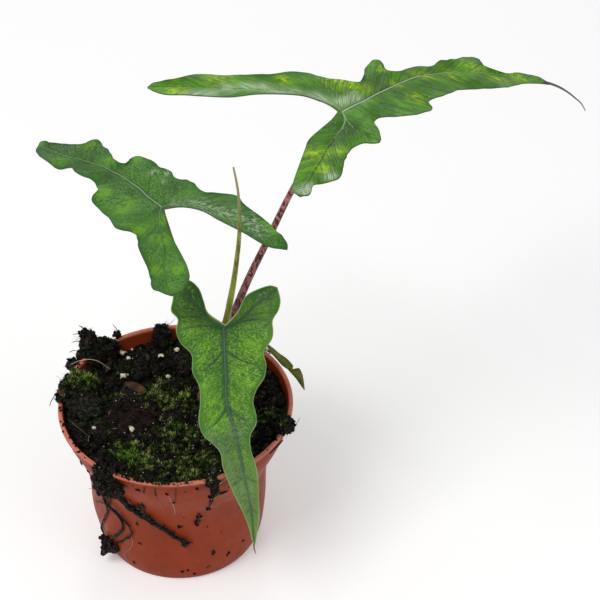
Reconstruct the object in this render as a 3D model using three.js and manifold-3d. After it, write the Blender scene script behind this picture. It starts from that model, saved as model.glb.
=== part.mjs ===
// A young sabrina alocasia in a 12 cm nursery pot: three arrow-shaped leaves, a rolled new leaf and a
// small folded leaf on one crown, rooted in a peaty mix that spills over the rim of a thin clay-red pot.
// Millimetres, +Z up. The origin is the middle of the pot's underside, and -Y is the front.
import * as THREE from "three";
import { mergeVertices } from "three/addons/utils/BufferGeometryUtils.js";
import Module from "manifold-3d";

const wasm = await Module();
wasm.setup();

// Driving dimensions
const GAP = 0.3; // clearance between pieces that touch
const POT_SIDES = 44;
const POT_HEIGHT = 90;
const POT_WALL = 1.2;
const POT_LIP = 1.1; // how far the rolled rim stands out from the wall
const FLOOR = 1.4;
const DRAIN_LIFT = 1.8; // the ring of drain holes sits this far above the surface
const DRAIN_HOLES = 8;
const DRAIN_HOLE_RADIUS = 3;
const DRAIN_CIRCLE = 23;
const SOIL_LEVEL = 84; // at the middle of the pot
const SOIL_SLOPE = 0.05; // it rises towards the front
const SOIL_BOTTOM = 3.6;
const BLADE = 0.9; // leaf thickness
const RIB = 0.9; // how far the midrib and the lobe ribs stand out underneath
const CROWN = { x: 19, y: 9.5 };

// The outside of the pot as radius and height: a foot ring, a slightly tapered body and a flared collar.
const POT_OUTSIDE = [
  [40.5, 0], [42, 1.5], [44, 10], [45.5, 25], [46.5, 40],
  [49, 55], [52, 64], [55.2, 72], [58, 80], [59.3, 87],
];
const FOOT_DISC = 11; // radius of the flat middle that the pot stands on, inside the ring of drain holes
const FOOT_RING = 35.5; // inner radius of the outer ring that it also stands on
const FIRM_FLOOR = 38; // the floor inside this radius has no dents
// The soft wall is a little out of round: how far it stands out (or in) about each angle and height.
const POT_DENTS = [
  { angle: 195, z: 26, spread: 32, tall: 16, out: 1.6 },
  { angle: 350, z: 54, spread: 38, tall: 15, out: -1.3 },
  { angle: 188, z: 72, spread: 36, tall: 8, out: -1.1 },
  { angle: 262, z: 30, spread: 18, tall: 20, out: -0.6 },
];

const COLOURS = {
  pot: 0xb0512f,
  soil: 0x241c17,
  crown: 0x6d4a2c,
  leaf: 0x3f7d2a,
  petiole: 0x8a4a45,
  spear: 0x8a9440,
  root: 0x2e2019,
  bark: 0x6b4630,
  perlite: 0xe8e4d8,
};

// Small tools

const radians = (degrees) => (degrees * Math.PI) / 180;
const vector = (p) => new THREE.Vector3(p[0], p[1], p[2] ?? 0);

function hash(i, j, k) {
  const s = Math.sin(i * 127.1 + j * 311.7 + k * 74.7) * 43758.5453;
  return s - Math.floor(s);
}

// Smooth noise between -1 and 1 that always gives the same value at the same place.
function noise(x, y, z) {
  const cell = [Math.floor(x), Math.floor(y), Math.floor(z)];
  const part = [x - cell[0], y - cell[1], z - cell[2]].map((f) => f * f * (3 - 2 * f));
  let sum = 0;
  for (let corner = 0; corner < 8; corner++) {
    const step = [corner & 1, (corner >> 1) & 1, corner >> 2];
    const share = step.reduce((product, s, axis) => product * (s ? part[axis] : 1 - part[axis]), 1);
    sum += share * hash(cell[0] + step[0], cell[1] + step[1], cell[2] + step[2]);
  }
  return 2 * sum - 1;
}

function bare(geometry) {
  const loose = geometry.index ? geometry.toNonIndexed() : geometry;
  const shape = new THREE.BufferGeometry();
  shape.setAttribute("position", loose.getAttribute("position").clone());
  return mergeVertices(shape, 1e-4);
}

function solid(geometry) {
  const shape = bare(geometry);
  const corners = shape.index.array;
  const kept = [];
  for (let i = 0; i < corners.length; i += 3) {
    const [a, b, c] = [corners[i], corners[i + 1], corners[i + 2]];
    if (a !== b && b !== c && c !== a) kept.push(a, b, c);
  }
  const vertProperties = shape.attributes.position.array;
  return new wasm.Manifold(new wasm.Mesh({ numProp: 3, vertProperties, triVerts: new Uint32Array(kept) }));
}

function geometryOf(body) {
  const mesh = body.getMesh();
  const places = new Float32Array(mesh.numVert * 3);
  for (let i = 0; i < mesh.numVert; i++) {
    for (let axis = 0; axis < 3; axis++) places[3 * i + axis] = mesh.vertProperties[mesh.numProp * i + axis];
  }
  const geometry = new THREE.BufferGeometry();
  geometry.setAttribute("position", new THREE.BufferAttribute(places, 3));
  geometry.setIndex(new THREE.BufferAttribute(mesh.triVerts, 1));
  geometry.computeVertexNormals();
  return geometry;
}

// The biggest piece that a cut leaves.
function mainPiece(body) {
  return body.decompose().reduce((best, piece) => (piece.volume() > best.volume() ? piece : best));
}

// A closed skin through a stack of rings, each end closed by a fan about its middle.
function skin(rings) {
  const sides = rings[0].length;
  const places = rings.flat().map((p) => p.toArray()).flat();
  const faces = [];
  const middle = (ring) => {
    const centre = ring.reduce((sum, p) => sum.add(p), new THREE.Vector3()).divideScalar(sides);
    return places.push(...centre.toArray()) / 3 - 1;
  };
  for (let i = 0; i + 1 < rings.length; i++) {
    for (let j = 0; j < sides; j++) {
      const k = (j + 1) % sides;
      const [a, b, c, d] = [i * sides + j, i * sides + k, (i + 1) * sides + k, (i + 1) * sides + j];
      faces.push(a, b, c, a, c, d);
    }
  }
  const first = middle(rings[0]);
  const last = middle(rings[rings.length - 1]);
  const top = (rings.length - 1) * sides;
  for (let j = 0; j < sides; j++) {
    const k = (j + 1) % sides;
    faces.push(first, k, j, last, top + j, top + k);
  }
  const geometry = new THREE.BufferGeometry();
  geometry.setAttribute("position", new THREE.Float32BufferAttribute(places, 3));
  geometry.setIndex(faces);
  return geometry;
}

// A tapering tube along a curve; radiusAt gives the radius at each share of the length.
function tube(curve, steps, sides, radiusAt) {
  const frames = curve.computeFrenetFrames(steps, false);
  const rings = [];
  for (let i = 0; i <= steps; i++) {
    const centre = curve.getPointAt(i / steps);
    const ring = [];
    for (let j = 0; j < sides; j++) {
      const angle = (2 * Math.PI * j) / sides;
      const spoke = frames.normals[i].clone().multiplyScalar(Math.cos(angle));
      spoke.addScaledVector(frames.binormals[i], Math.sin(angle));
      ring.push(centre.clone().addScaledVector(spoke, radiusAt(i / steps)));
    }
    rings.push(ring);
  }
  return skin(rings);
}

// Pot

// How far the wall's dents move it outwards at an angle (degrees) and height.
function dent(angle, z) {
  return POT_DENTS.reduce((sum, d) => {
    const turn = (((angle - d.angle) % 360) + 540) % 360 - 180;
    return sum + d.out * Math.exp(-((turn / d.spread) ** 2) - ((z - d.z) / d.tall) ** 2);
  }, 0);
}

function potRadius(z) {
  const above = POT_OUTSIDE.findIndex((p) => p[1] >= z);
  if (above < 1) return above === 0 ? POT_OUTSIDE[0][0] : POT_OUTSIDE[POT_OUTSIDE.length - 1][0];
  const [r0, z0] = POT_OUTSIDE[above - 1];
  const [r1, z1] = POT_OUTSIDE[above];
  return r0 + ((r1 - r0) * (z - z0)) / (z1 - z0);
}

// A point on the dented wall, a given distance outside it.
function onWall(angle, z, away) {
  const r = potRadius(z) + dent(angle, z) + away;
  return new THREE.Vector3(r * Math.cos(radians(angle)), r * Math.sin(radians(angle)), z);
}

// The pot's section with every face moved out by gap, so that the same section cuts room for the pot.
function potSection(gap) {
  const foot = [
    [0, -gap],
    [FOOT_DISC, -gap],
    [FOOT_DISC + 2, DRAIN_LIFT - gap],
    [FOOT_RING - 2.5, DRAIN_LIFT - gap],
    [FOOT_RING, -gap],
  ];
  const outside = POT_OUTSIDE.map(([r, z], i) => [r + gap, i === 0 ? z - gap : z]);
  const rim = POT_OUTSIDE[POT_OUTSIDE.length - 1][0];
  const lip = [
    [rim + POT_LIP + gap, 87.6 - gap],
    [rim + POT_LIP + gap, 89.3],
    [rim + 0.6 + gap, POT_HEIGHT + gap],
    [rim - 0.6 - gap, POT_HEIGHT + gap],
    [rim - POT_WALL - gap, 89.2],
  ];
  const inside = POT_OUTSIDE.slice(2).reverse().map(([r, z]) => [r - POT_WALL - gap, z - 0.5]);
  const floor = [
    [41 - gap, 3 + gap],
    [40 - gap, FLOOR + gap],
    [FOOT_RING + 0.9, FLOOR + gap],
    [FOOT_RING - 1.5, DRAIN_LIFT + FLOOR + gap],
    [FOOT_DISC + 1.2, DRAIN_LIFT + FLOOR + gap],
    [FOOT_DISC - 0.8, FLOOR + gap],
    [0, FLOOR + gap],
  ];
  return [...foot, ...outside, ...lip, ...inside, ...floor];
}

function potShell(gap) {
  const profile = potSection(gap).map(([r, z]) => new THREE.Vector2(r, z));
  const geometry = bare(new THREE.LatheGeometry(profile, POT_SIDES).rotateX(Math.PI / 2));
  const places = geometry.getAttribute("position");
  for (let i = 0; i < places.count; i++) {
    const [x, y, z] = [places.getX(i), places.getY(i), places.getZ(i)];
    const r = Math.hypot(x, y);
    if (r < FIRM_FLOOR) continue;
    const moved = 1 + dent((Math.atan2(y, x) * 180) / Math.PI, z) / r;
    places.setXYZ(i, x * moved, y * moved, z);
  }
  return solid(geometry);
}

function pot() {
  let body = potShell(0);
  for (let i = 0; i < DRAIN_HOLES; i++) {
    const angle = radians((360 * i) / DRAIN_HOLES);
    const hole = new THREE.CylinderGeometry(DRAIN_HOLE_RADIUS, DRAIN_HOLE_RADIUS, 10, 10);
    hole.rotateX(Math.PI / 2);
    hole.translate(DRAIN_CIRCLE * Math.cos(angle), DRAIN_CIRCLE * Math.sin(angle), 0);
    body = body.subtract(solid(hole));
  }
  return body;
}

// Soil

const SOIL_SIDES = 40;
const SOIL_WALL = [SOIL_BOTTOM, 25, 45, 64, 79]; // heights of its rings down the inside of the pot
const SOIL_RINGS = [57.6, 53, 48, 43, 38, 33, 28, 23, 18, 13, 8, 3]; // radii of its rings on top

// Height of the soil: it slopes, heaps up round the crown and is rough with crumbs.
function soilHeight(x, y) {
  const heap = 2 * Math.exp(-((x - CROWN.x) ** 2 + (y - CROWN.y) ** 2) / 160);
  const lumps = 2.6 * noise(x / 11, y / 11, 3.5) + 1.4 * noise(x / 6, y / 6, 7.5);
  return SOIL_LEVEL - SOIL_SLOPE * y + heap + lumps;
}

function rootBall() {
  const ringAt = (radius, height) =>
    Array.from({ length: SOIL_SIDES }, (_, j) => {
      const angle = (2 * Math.PI * j) / SOIL_SIDES;
      const [x, y] = [radius * Math.cos(angle), radius * Math.sin(angle)];
      return new THREE.Vector3(x, y, height ?? soilHeight(x, y));
    });
  const wall = SOIL_WALL.map((z) => ringAt(potRadius(z) - POT_WALL / 2, z));
  const top = SOIL_RINGS.map((r) => ringAt(r));
  return solid(skin([...wall, ...top]));
}

// A rough lump: an ellipsoid with bumps, stretched by its three half widths.
function clod(centre, size, seed, detail = 2, roughness = 0.22) {
  const geometry = bare(new THREE.IcosahedronGeometry(1, detail));
  const places = geometry.getAttribute("position");
  for (let i = 0; i < places.count; i++) {
    const [x, y, z] = [places.getX(i), places.getY(i), places.getZ(i)];
    const bump = 1 + roughness * noise(2.1 * x + seed, 2.1 * y + 2 * seed, 2.1 * z) * 1.6;
    const place = [x, y, z].map((value, axis) => centre[axis] + value * bump * size[axis]);
    places.setXYZ(i, ...place);
  }
  return solid(geometry);
}

// The clods that heap up over the rim: centre, half widths, seed and how finely each is shaped.
const CLODS = [
  [[-46, 38, 90], [7, 7, 8], 1, 2],
  [[-49, 42, 97], [3.5, 3.5, 6], 2, 1],
  [[-39, 44, 87], [7, 6, 6], 3, 2],
  [[-54, 29, 90], [5, 5, 4], 14, 1],
  [[-51, 7, 89], [11, 12, 5], 4, 2],
  [[-46, -3, 88], [8, 8, 5], 5, 1],
  [[-32, -45, 89], [9, 9, 5], 6, 2],
  [[-32, -52, 83], [7, 5, 9], 7, 2],
  [[-27, -55, 80], [5, 4.5, 6], 8, 1],
  [[20, -54, 89], [6, 6, 4], 9, 1],
  [[22, -59, 86], [4, 3.5, 5], 10, 1],
  [[50, -18, 90], [8, 6, 5], 11, 2],
  [[54, -19, 91], [6, 5, 4.5], 12, 1],
  [[-10, 53, 86], [7, 6, 6], 13, 1],
];

// Petioles, new leaf and crown

// Each stalk's route from the crown to its blade, with its radius at the foot and at the top.
const PETIOLES = {
  petiole_upper: {
    route: [[20, 12, 79], [20.5, 12, 90], [22, 12, 106], [25.5, 12, 122], [30.5, 12, 138], [39, 14, 161],
      [48, 16, 182], [60.5, 18, 212], [73, 19, 235], [84, 20, 255.6]],
    foot: 2.4, top: 1.1,
  },
  petiole_left: {
    route: [[14, 13, 79], [14, 13, 98], [11.5, 13, 117], [9.5, 13, 134], [8, 14, 156], [4, 14, 173],
      [1, 14, 185], [-3, 15, 203.6]],
    foot: 2.3, top: 1.1,
  },
  petiole_front: {
    route: [[19, 5.5, 79], [19, 5, 88], [20, 2, 104], [22, -5, 124], [25, -13, 142], [27, -19.6, 155.6]],
    foot: 2.3, top: 1.2,
  },
};
const SPEAR = {
  route: [[14.5, 7.5, 79], [15.5, 7, 92], [20, 3, 117], [26, -3, 141], [30, -7, 164.5], [33, -12, 189.5],
    [36.5, -17, 214.5], [36.5, -20, 234.5], [35.5, -21, 244], [34, -22, 254]],
  foot: 1.9, top: 0.45,
};
const SMALL_LEAF = {
  route: [[25, 7.5, 79], [26, 9, 88], [31, 15, 97], [39, 24, 101.5], [45.7, 30, 99.5], [51.5, 32, 95],
    [56, 33, 90]],
  foot: 1.8, top: 1,
};

function stalk(plan, gap, steps = 16, sides = 8) {
  const curve = new THREE.CatmullRomCurve3(plan.route.map(vector));
  return solid(tube(curve, steps, sides, (s) => plan.foot + (plan.top - plan.foot) * s ** 0.8 + gap));
}

// A tight cluster of old leaf bases, half sunk in the soil, as radius and height.
const CROWN_PROFILE = [[3, 68], [6, 71], [8, 76], [8.6, 81], [8, 85], [6, 87.5], [3, 88.6]];
const CROWN_SIDES = 16;

function crown(gap) {
  const rings = CROWN_PROFILE.map(([radius, z], i) =>
    Array.from({ length: CROWN_SIDES }, (_, j) => {
      const angle = (2 * Math.PI * j) / CROWN_SIDES;
      const r = radius * (1 + 0.07 * Math.cos(3 * angle + z / 3)) + gap;
      const lift = i === 0 ? -gap : i === CROWN_PROFILE.length - 1 ? gap : 0;
      return new THREE.Vector3(CROWN.x + r * Math.cos(angle), CROWN.y + r * Math.sin(angle), z + lift);
    }),
  );
  return solid(skin(rings));
}

// The small leaf is still folded along its midrib: a narrow V that hangs over the rim.
const FOLDED_BLADE = {
  route: [[53.5, 32.5, 92.5], [58.5, 33.5, 86.5], [61, 33.5, 80.5], [65.6, 32, 69]],
  side: [0.45, -0.85, 0.3], // the way its two halves open
  half: 3,
  steps: 12,
};

function foldedBlade() {
  const curve = new THREE.CatmullRomCurve3(FOLDED_BLADE.route.map(vector));
  const side = vector(FOLDED_BLADE.side).normalize();
  const rings = [];
  for (let i = 0; i <= FOLDED_BLADE.steps; i++) {
    const s = i / FOLDED_BLADE.steps;
    const centre = curve.getPointAt(s);
    const along = curve.getTangentAt(s);
    const across = side.clone().addScaledVector(along, -side.dot(along)).normalize();
    const keel = new THREE.Vector3().crossVectors(along, across);
    const half = 0.9 + FOLDED_BLADE.half * Math.sin(Math.PI * (0.12 + 0.86 * s)) ** 0.8 * (1 - 0.35 * s);
    const section = [[0, 0.9], [-0.6 * half, 0.25], [-half, -1.1], [-half + 0.8, -1.5], [0, -0.5],
      [half - 0.8, -1.5], [half, -1.1], [0.6 * half, 0.25]];
    const scale = 1 - 0.55 * s;
    rings.push(section.map(([a, b]) =>
      centre.clone().addScaledVector(across, a).addScaledVector(keel, b * scale)));
  }
  return solid(skin(rings));
}

// Leaf blades

// Each blade lies on its own plane: at is where the petiole joins it, heading the compass direction of its
// tip, face the way its upper side looks. Outlines are in that plane, forward of the joint and to the left.
// Each margin runs from the lobe's tip to the blade's tip, and side is the point level with the joint.
const LEAVES = {
  leaf_upper: {
    at: [84, 20, 256], heading: 37, face: [0.1, 0.08, 1], droop: 0.001, lobeDroop: 0.0006,
    keel: 0.04, wave: 1.2, ripples: 6,
    midrib: [[0, 0], [17, 4], [36, 9], [57, 14], [75, 14], [88, 13], [104, 9], [119, 4], [136, -3]],
    sinus: [-2, 1],
    left: {
      rib: [[0, 0], [0, 8], [-2, 14], [-6, 22], [-14, 30], [-28, 39], [-43, 50], [-58, 60], [-66, 65]],
      margin: [[-66, 65], [-60, 66], [-52, 64], [-42, 61], [-34, 54], [-23, 48], [-10, 43], [2, 39], [10, 31],
        [17, 25], [25, 20], [30, 22], [35, 27], [43, 31], [48, 32], [50, 27], [53, 22], [60, 22], [67, 23],
        [74, 22], [83, 26], [92, 29], [104, 32], [109, 26], [111, 16], [118, 9], [126, 7], [136, -3]],
      side: 8,
      inner: [[-66, 65], [-66, 60], [-63, 54], [-56, 49], [-50, 44], [-39, 36], [-27, 32], [-16, 26],
        [-8, 20], [-4, 13], [-2, 6]],
    },
    right: {
      rib: [[0, 0], [-5, -8], [-16, -16], [-26, -22], [-34, -28], [-43, -34], [-52, -40], [-60, -46]],
      margin: [[-60, -46], [-57, -49], [-52, -45], [-45, -44], [-39, -45], [-33, -42], [-26, -35],
        [-18, -29], [-10, -27], [-3, -30], [2, -27], [5, -20], [8, -15], [14, -13], [21, -15], [30, -17],
        [38, -18], [43, -15], [45, -9], [51, -8], [71, -4], [91, -5], [104, -6], [116, -4], [126, -3],
        [136, -3]],
      side: 9,
      inner: [[-60, -46], [-61, -42], [-57, -37], [-46, -27], [-37, -19], [-30, -13], [-19, -8], [-10, -4]],
    },
  },
  leaf_left: {
    at: [-3, 15, 204], heading: 128, face: [-0.1, 0, 1], droop: 0.0012, lobeDroop: 0.0008,
    keel: 0.05, wave: 1.3, ripples: 6,
    midrib: [[0, 0], [11, 0], [22, -1], [38, -1], [53, 0], [68, 3], [81, 6], [95, 7], [107, 7]],
    sinus: [-3, 0],
    left: {
      rib: [[0, 0], [-7, 6], [-17, 12], [-29, 18], [-40, 26], [-49, 31], [-56, 33]],
      margin: [[-56, 33], [-51, 36], [-45, 37], [-34, 31], [-22, 26], [-14, 24], [-8, 20], [-1, 24], [6, 25],
        [14, 22], [24, 21], [31, 20], [35, 15], [42, 11], [50, 11], [58, 12], [65, 11], [69, 15], [74, 16],
        [83, 14], [95, 13], [103, 11], [107, 7]],
      side: 7,
      inner: [[-56, 33], [-57, 28], [-53, 21], [-46, 17], [-37, 14], [-24, 10], [-12, 5]],
    },
    right: {
      rib: [[0, 0], [-5, -9], [-14, -15], [-28, -18], [-42, -21], [-56, -24], [-66, -26]],
      margin: [[-66, -26], [-64, -28], [-59, -29], [-48, -30], [-33, -30], [-21, -30], [-12, -27], [-5, -21],
        [3, -22], [9, -21], [14, -18], [20, -20], [26, -19], [32, -18], [39, -19], [46, -18], [47, -13],
        [46, -9], [51, -8], [59, -9], [66, -10], [73, -11], [80, -12], [84, -9], [88, -5], [97, -1],
        [106, 0], [110, 3], [107, 7]],
      side: 8,
      inner: [[-66, -26], [-59, -20], [-43, -17], [-29, -14], [-17, -12], [-8, -7]],
    },
  },
  leaf_front: {
    at: [27, -20, 156], heading: -85, face: [0.08, -0.82, 0.57], droop: 0.0007, lobeDroop: 0.004,
    keel: 0.06, wave: 1.1, ripples: 6,
    midrib: [[0, 0], [12, 0], [25, 0], [37, 0], [48, 3], [59, 5], [72, 7], [91, 10], [111, 11]],
    sinus: [-2, 1],
    left: {
      rib: [[0, 0], [-4, 8], [-11, 16], [-15, 22], [-19, 27]],
      margin: [[-19, 27], [-13, 28], [-8, 27], [-3, 24], [2, 24], [6, 23], [12, 19], [18, 20], [24, 19],
        [30, 15], [36, 13], [42, 14], [47, 14], [53, 11], [60, 11], [68, 13], [78, 14], [91, 14], [101, 13],
        [111, 11]],
      side: 3,
      inner: [[-19, 27], [-20, 23], [-18, 16], [-15, 11], [-8, 7]],
    },
    right: {
      rib: [[0, 0], [-4, -6], [-10, -11], [-17, -16], [-24, -19]],
      margin: [[-24, -19], [-20, -23], [-15, -24], [-10, -25], [-6, -22], [0, -23], [6, -21], [12, -16],
        [20, -16], [28, -13], [36, -13], [45, -14], [52, -12], [56, -8], [61, -4], [69, -3], [78, 0],
        [87, 4], [98, 8], [106, 10], [111, 11]],
      side: 5,
      inner: [[-24, -19], [-24, -15], [-20, -11], [-14, -9], [-8, -7]],
    },
  },
};

const ACROSS = [0, 0.15, 0.55, 1]; // steps from a rib to the outer margin
const ACROSS_INNER = [0, 0.3, 1]; // steps from a lobe's rib to the margin of the notch
const FRONT_STEPS = 26;
const LOBE_STEPS = 14;
const FORWARD = 1.12; // side veins slant: they leave the rib further back than they meet the margin

function spline(points) {
  return new THREE.CatmullRomCurve3(points.map(vector), false, "catmullrom", 0.5);
}

// The share of a margin's length at which its side point lies.
function shareAt(curve, count, index) {
  const fine = 200; // steps between two points of the margin
  const lengths = curve.getLengths(fine * (count - 1));
  return lengths[fine * index] / lengths[lengths.length - 1];
}

// The three strips of half a blade, as functions from (along, across) to a place and its height terms.
function strips(leaf, half) {
  const margin = spline(half.margin);
  const share = shareAt(margin, half.margin.length, half.side);
  const midrib = spline(leaf.midrib);
  const rib = spline([...half.rib].reverse());
  const inner = spline([...half.inner, leaf.sinus]);
  const between = (a, b, t) => [a.x + (b.x - a.x) * t, a.y + (b.y - a.y) * t, a.distanceTo(b) * t];
  const phase = half === leaf.left ? 0 : 2;
  const wave = (s, t) => leaf.wave * t * t * Math.sin(2 * Math.PI * leaf.ripples * s + phase);
  const front = (s, t) => {
    const along = share + (1 - share) * s;
    const [u, v, reach] = between(midrib.getPointAt(s ** FORWARD), margin.getPointAt(along), t);
    return [u, v, leaf.keel * reach + wave(along, t) * Math.min(1, 4 * (1 - s))];
  };
  const lobe = (s, t) => {
    const back = 1 - (1 - s) ** FORWARD;
    const [u, v, reach] = between(rib.getPointAt(back), margin.getPointAt(share * s), t);
    return [u, v, leaf.keel * reach + wave(share * s, t) * Math.min(1, 4 * s)];
  };
  const notch = (s, t) => {
    const back = 1 - (1 - s) ** FORWARD;
    const [u, v, reach] = between(rib.getPointAt(back), inner.getPointAt(s), t);
    return [u, v, leaf.keel * reach];
  };
  return [
    { place: front, steps: FRONT_STEPS, across: ACROSS },
    { place: lobe, steps: LOBE_STEPS, across: ACROSS },
    { place: notch, steps: LOBE_STEPS, across: ACROSS_INNER },
  ];
}

function leafFrame(leaf) {
  const face = vector(leaf.face).normalize();
  const heading = vector([Math.cos(radians(leaf.heading)), Math.sin(radians(leaf.heading)), 0]);
  const forward = heading.addScaledVector(face, -heading.dot(face)).normalize();
  return { at: vector(leaf.at), forward, left: new THREE.Vector3().crossVectors(face, forward), face };
}

function bladePoint(leaf, u, v, lift) {
  const frame = leafFrame(leaf);
  const droop = leaf.droop * Math.max(u, 0) ** 2 + leaf.lobeDroop * Math.max(-u, 0) ** 2;
  const point = frame.at.clone().addScaledVector(frame.forward, u).addScaledVector(frame.left, v);
  return point.addScaledVector(frame.face, lift - droop);
}

// A blade as one closed body: the same triangles above and below, with a wall all round the margin.
function blade(leaf, gap) {
  const index = new Map();
  const above = [];
  const below = [];
  const flat = [];
  const corner = (u, v, lift, onRib) => {
    const key = u.toFixed(2) + "," + v.toFixed(2);
    if (!index.has(key)) {
      index.set(key, above.length);
      flat.push([u, v]);
      above.push(bladePoint(leaf, u, v, lift + gap));
      below.push(bladePoint(leaf, u, v, lift - BLADE - (onRib ? RIB : 0) - gap));
    }
    return index.get(key);
  };
  const faces = [];
  const face = (a, b, c) => {
    const [[ax, ay], [bx, by], [cx, cy]] = [flat[a], flat[b], flat[c]];
    const turn = (bx - ax) * (cy - ay) - (by - ay) * (cx - ax);
    if (a === b || b === c || c === a || Math.abs(turn) < 1e-4) return;
    faces.push(turn > 0 ? [a, b, c] : [a, c, b]);
  };
  for (const half of [leaf.left, leaf.right]) {
    for (const strip of strips(leaf, half)) {
      const grid = [];
      for (let i = 0; i <= strip.steps; i++) {
        grid.push(strip.across.map((t) => {
          const [u, v, lift] = strip.place(i / strip.steps, t);
          return corner(u, v, lift, t === 0);
        }));
      }
      for (let i = 0; i < strip.steps; i++) {
        for (let j = 0; j + 1 < strip.across.length; j++) {
          face(grid[i][j], grid[i + 1][j], grid[i + 1][j + 1]);
          face(grid[i][j], grid[i + 1][j + 1], grid[i][j + 1]);
        }
      }
    }
  }
  const edges = new Set(faces.flatMap(([a, b, c]) => [`${a},${b}`, `${b},${c}`, `${c},${a}`]));
  const count = above.length;
  const corners = faces.flatMap(([a, b, c]) => [a, b, c, count + a, count + c, count + b]);
  for (const edge of edges) {
    const [a, b] = edge.split(",").map(Number);
    if (!edges.has(`${b},${a}`)) corners.push(a, count + a, b, b, count + a, count + b);
  }
  const geometry = new THREE.BufferGeometry();
  const places = [...above, ...below].flatMap((p) => p.toArray());
  geometry.setAttribute("position", new THREE.Float32BufferAttribute(places, 3));
  geometry.setIndex(corners);
  return solid(geometry);
}

// Roots, bark and perlite

// Roots that lie against the outside of the pot, as angle and height, with their radius at both ends.
const OLD_ROOT = {
  route: [[239, 85], [242, 80], [248, 70], [254, 59], [264, 48], [272, 40], [278, 34]],
  from: 2,
  to: 1.3,
  knot: 2.1, // radius of the lump at its lower end
};
const FINE_ROOTS = [
  { route: [[231, 82], [228, 66], [224, 49], [217, 34], [213, 22], [216, 12]], from: 0.8, to: 0.6 },
  { route: [[225, 52], [231, 45], [233, 37], [229, 26], [218, 12]], from: 0.6, to: 0.5 },
  { route: [[235, 80], [234, 66], [235, 52], [237, 42], [240, 36], [238, 29], [228, 18], [219, 11]],
    from: 0.7, to: 0.5 },
];
// Soil that the ends of the fine roots hold.
const ROOT_CRUMB = { angle: 217, z: 11, away: 4, size: [3.6, 4.4, 4.6] };

function wallRoot(root, gap, steps, sides) {
  const radiusAt = (s) => root.from + (root.to - root.from) * s;
  const last = root.route.length - 1;
  const points = root.route.map(([angle, z], i) => onWall(angle, z, radiusAt(i / last) + 2 * GAP));
  return solid(tube(new THREE.CatmullRomCurve3(points), steps, sides, (s) => radiusAt(s) + gap));
}

function oldRoot(gap) {
  const end = OLD_ROOT.route[OLD_ROOT.route.length - 1];
  const knot = onWall(end[0], end[1], OLD_ROOT.knot + 2 * GAP).toArray();
  const half = OLD_ROOT.knot + gap;
  return wallRoot(OLD_ROOT, gap, 16, 8).add(clod(knot, [half, half * 0.9, half], 21, 1, 0.15));
}

function fineRoots(gap) {
  const place = onWall(ROOT_CRUMB.angle, ROOT_CRUMB.z, ROOT_CRUMB.away).toArray();
  const crumb = clod(place, ROOT_CRUMB.size.map((half) => half + gap), 22, 1, 0.2);
  const roots = FINE_ROOTS.map((root) => wallRoot(root, gap, 18, 5));
  return roots.reduce((sum, root) => sum.add(root), crumb);
}

// A splinter of bark that lies on the soil.
const BARK_CHIP = {
  x: -23,
  y: 15,
  thick: 1.8,
  tilt: 20, // degrees
  turn: -14,
  outline: [[-6, -1], [-3, -2.6], [2, -2.4], [6, -0.6], [5, 1.2], [1, 2.4], [-4, 2]],
};

function barkChip(gap) {
  const { x, y, outline } = BARK_CHIP;
  const [long, wide] = [5, 2.2]; // about half its length and half its width
  const grown = outline.map(([a, b]) => new THREE.Vector2(a * (1 + gap / long), b * (1 + gap / wide)));
  const depth = BARK_CHIP.thick + 2 * gap;
  const geometry = new THREE.ExtrudeGeometry(new THREE.Shape(grown), { depth, bevelEnabled: false });
  geometry.translate(0, 0, -depth / 2).rotateX(radians(BARK_CHIP.tilt)).rotateZ(radians(BARK_CHIP.turn));
  return solid(geometry.translate(x, y, soilHeight(x, y) + 1));
}

// White grains that show on the surface: place and half width.
const PERLITE = [
  [-31, 44, 1.7], [-27.5, 40, 1.9], [-10.3, 42.6, 1.9], [-2, 47.3, 1.5],
  [-29, 25, 2.2], [-5.6, 26, 1.6], [-21.6, -17.2, 1.8], [-41, -16, 1.3],
];

function grain([x, y, half], seed, gap) {
  const size = half + gap;
  return clod([x, y, soilHeight(x, y) + 0.5 * half], [size, size * 0.85, size * 0.8], 30 + seed, 1, 0.16);
}

// Assembly

const bodies = {};
bodies.pot = { body: pot(), colour: COLOURS.pot, roughness: 0.5 };

const cutPetioles = {};
for (const [name, plan] of Object.entries(PETIOLES)) {
  const leafName = name.replace("petiole", "leaf");
  const upper = stalk(plan, 0).subtract(blade(LEAVES[leafName], GAP));
  cutPetioles[name] = mainPiece(upper);
}

// The long thread that the upper leaf's tip ends in, from inside the blade to its hanging end.
const THREAD = [[188, 95.5, 222], [192, 97, 220], [197, 99, 216.5], [202, 101, 212], [206.5, 102, 207.5],
  [209.5, 102, 204.5], [212, 101, 200.5]];
const blades = Object.fromEntries(Object.entries(LEAVES).map(([name, leaf]) => [name, blade(leaf, 0)]));
const thread = tube(new THREE.CatmullRomCurve3(THREAD.map(vector)), 8, 6, (s) => 0.8 - 0.45 * s);
blades.leaf_upper = blades.leaf_upper.add(solid(thread));

const smallLeaf = stalk(SMALL_LEAF, 0, 14, 6).add(foldedBlade());
const stalks = [
  ...Object.values(PETIOLES).map((plan) => stalk(plan, GAP)),
  stalk(SPEAR, GAP),
  stalk(SMALL_LEAF, GAP, 14, 6),
];

const crownBody = stalks.reduce((left, hole) => left.subtract(hole), crown(0));
let soil = CLODS.reduce((sum, plan) => sum.add(clod(...plan)), rootBall());
const inSoil = [potShell(GAP), crown(GAP), oldRoot(GAP), fineRoots(GAP), barkChip(GAP), ...stalks];
PERLITE.forEach((spot, i) => inSoil.push(grain(spot, i, GAP)));
soil = mainPiece(inSoil.reduce((left, hole) => left.subtract(hole), soil));

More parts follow.
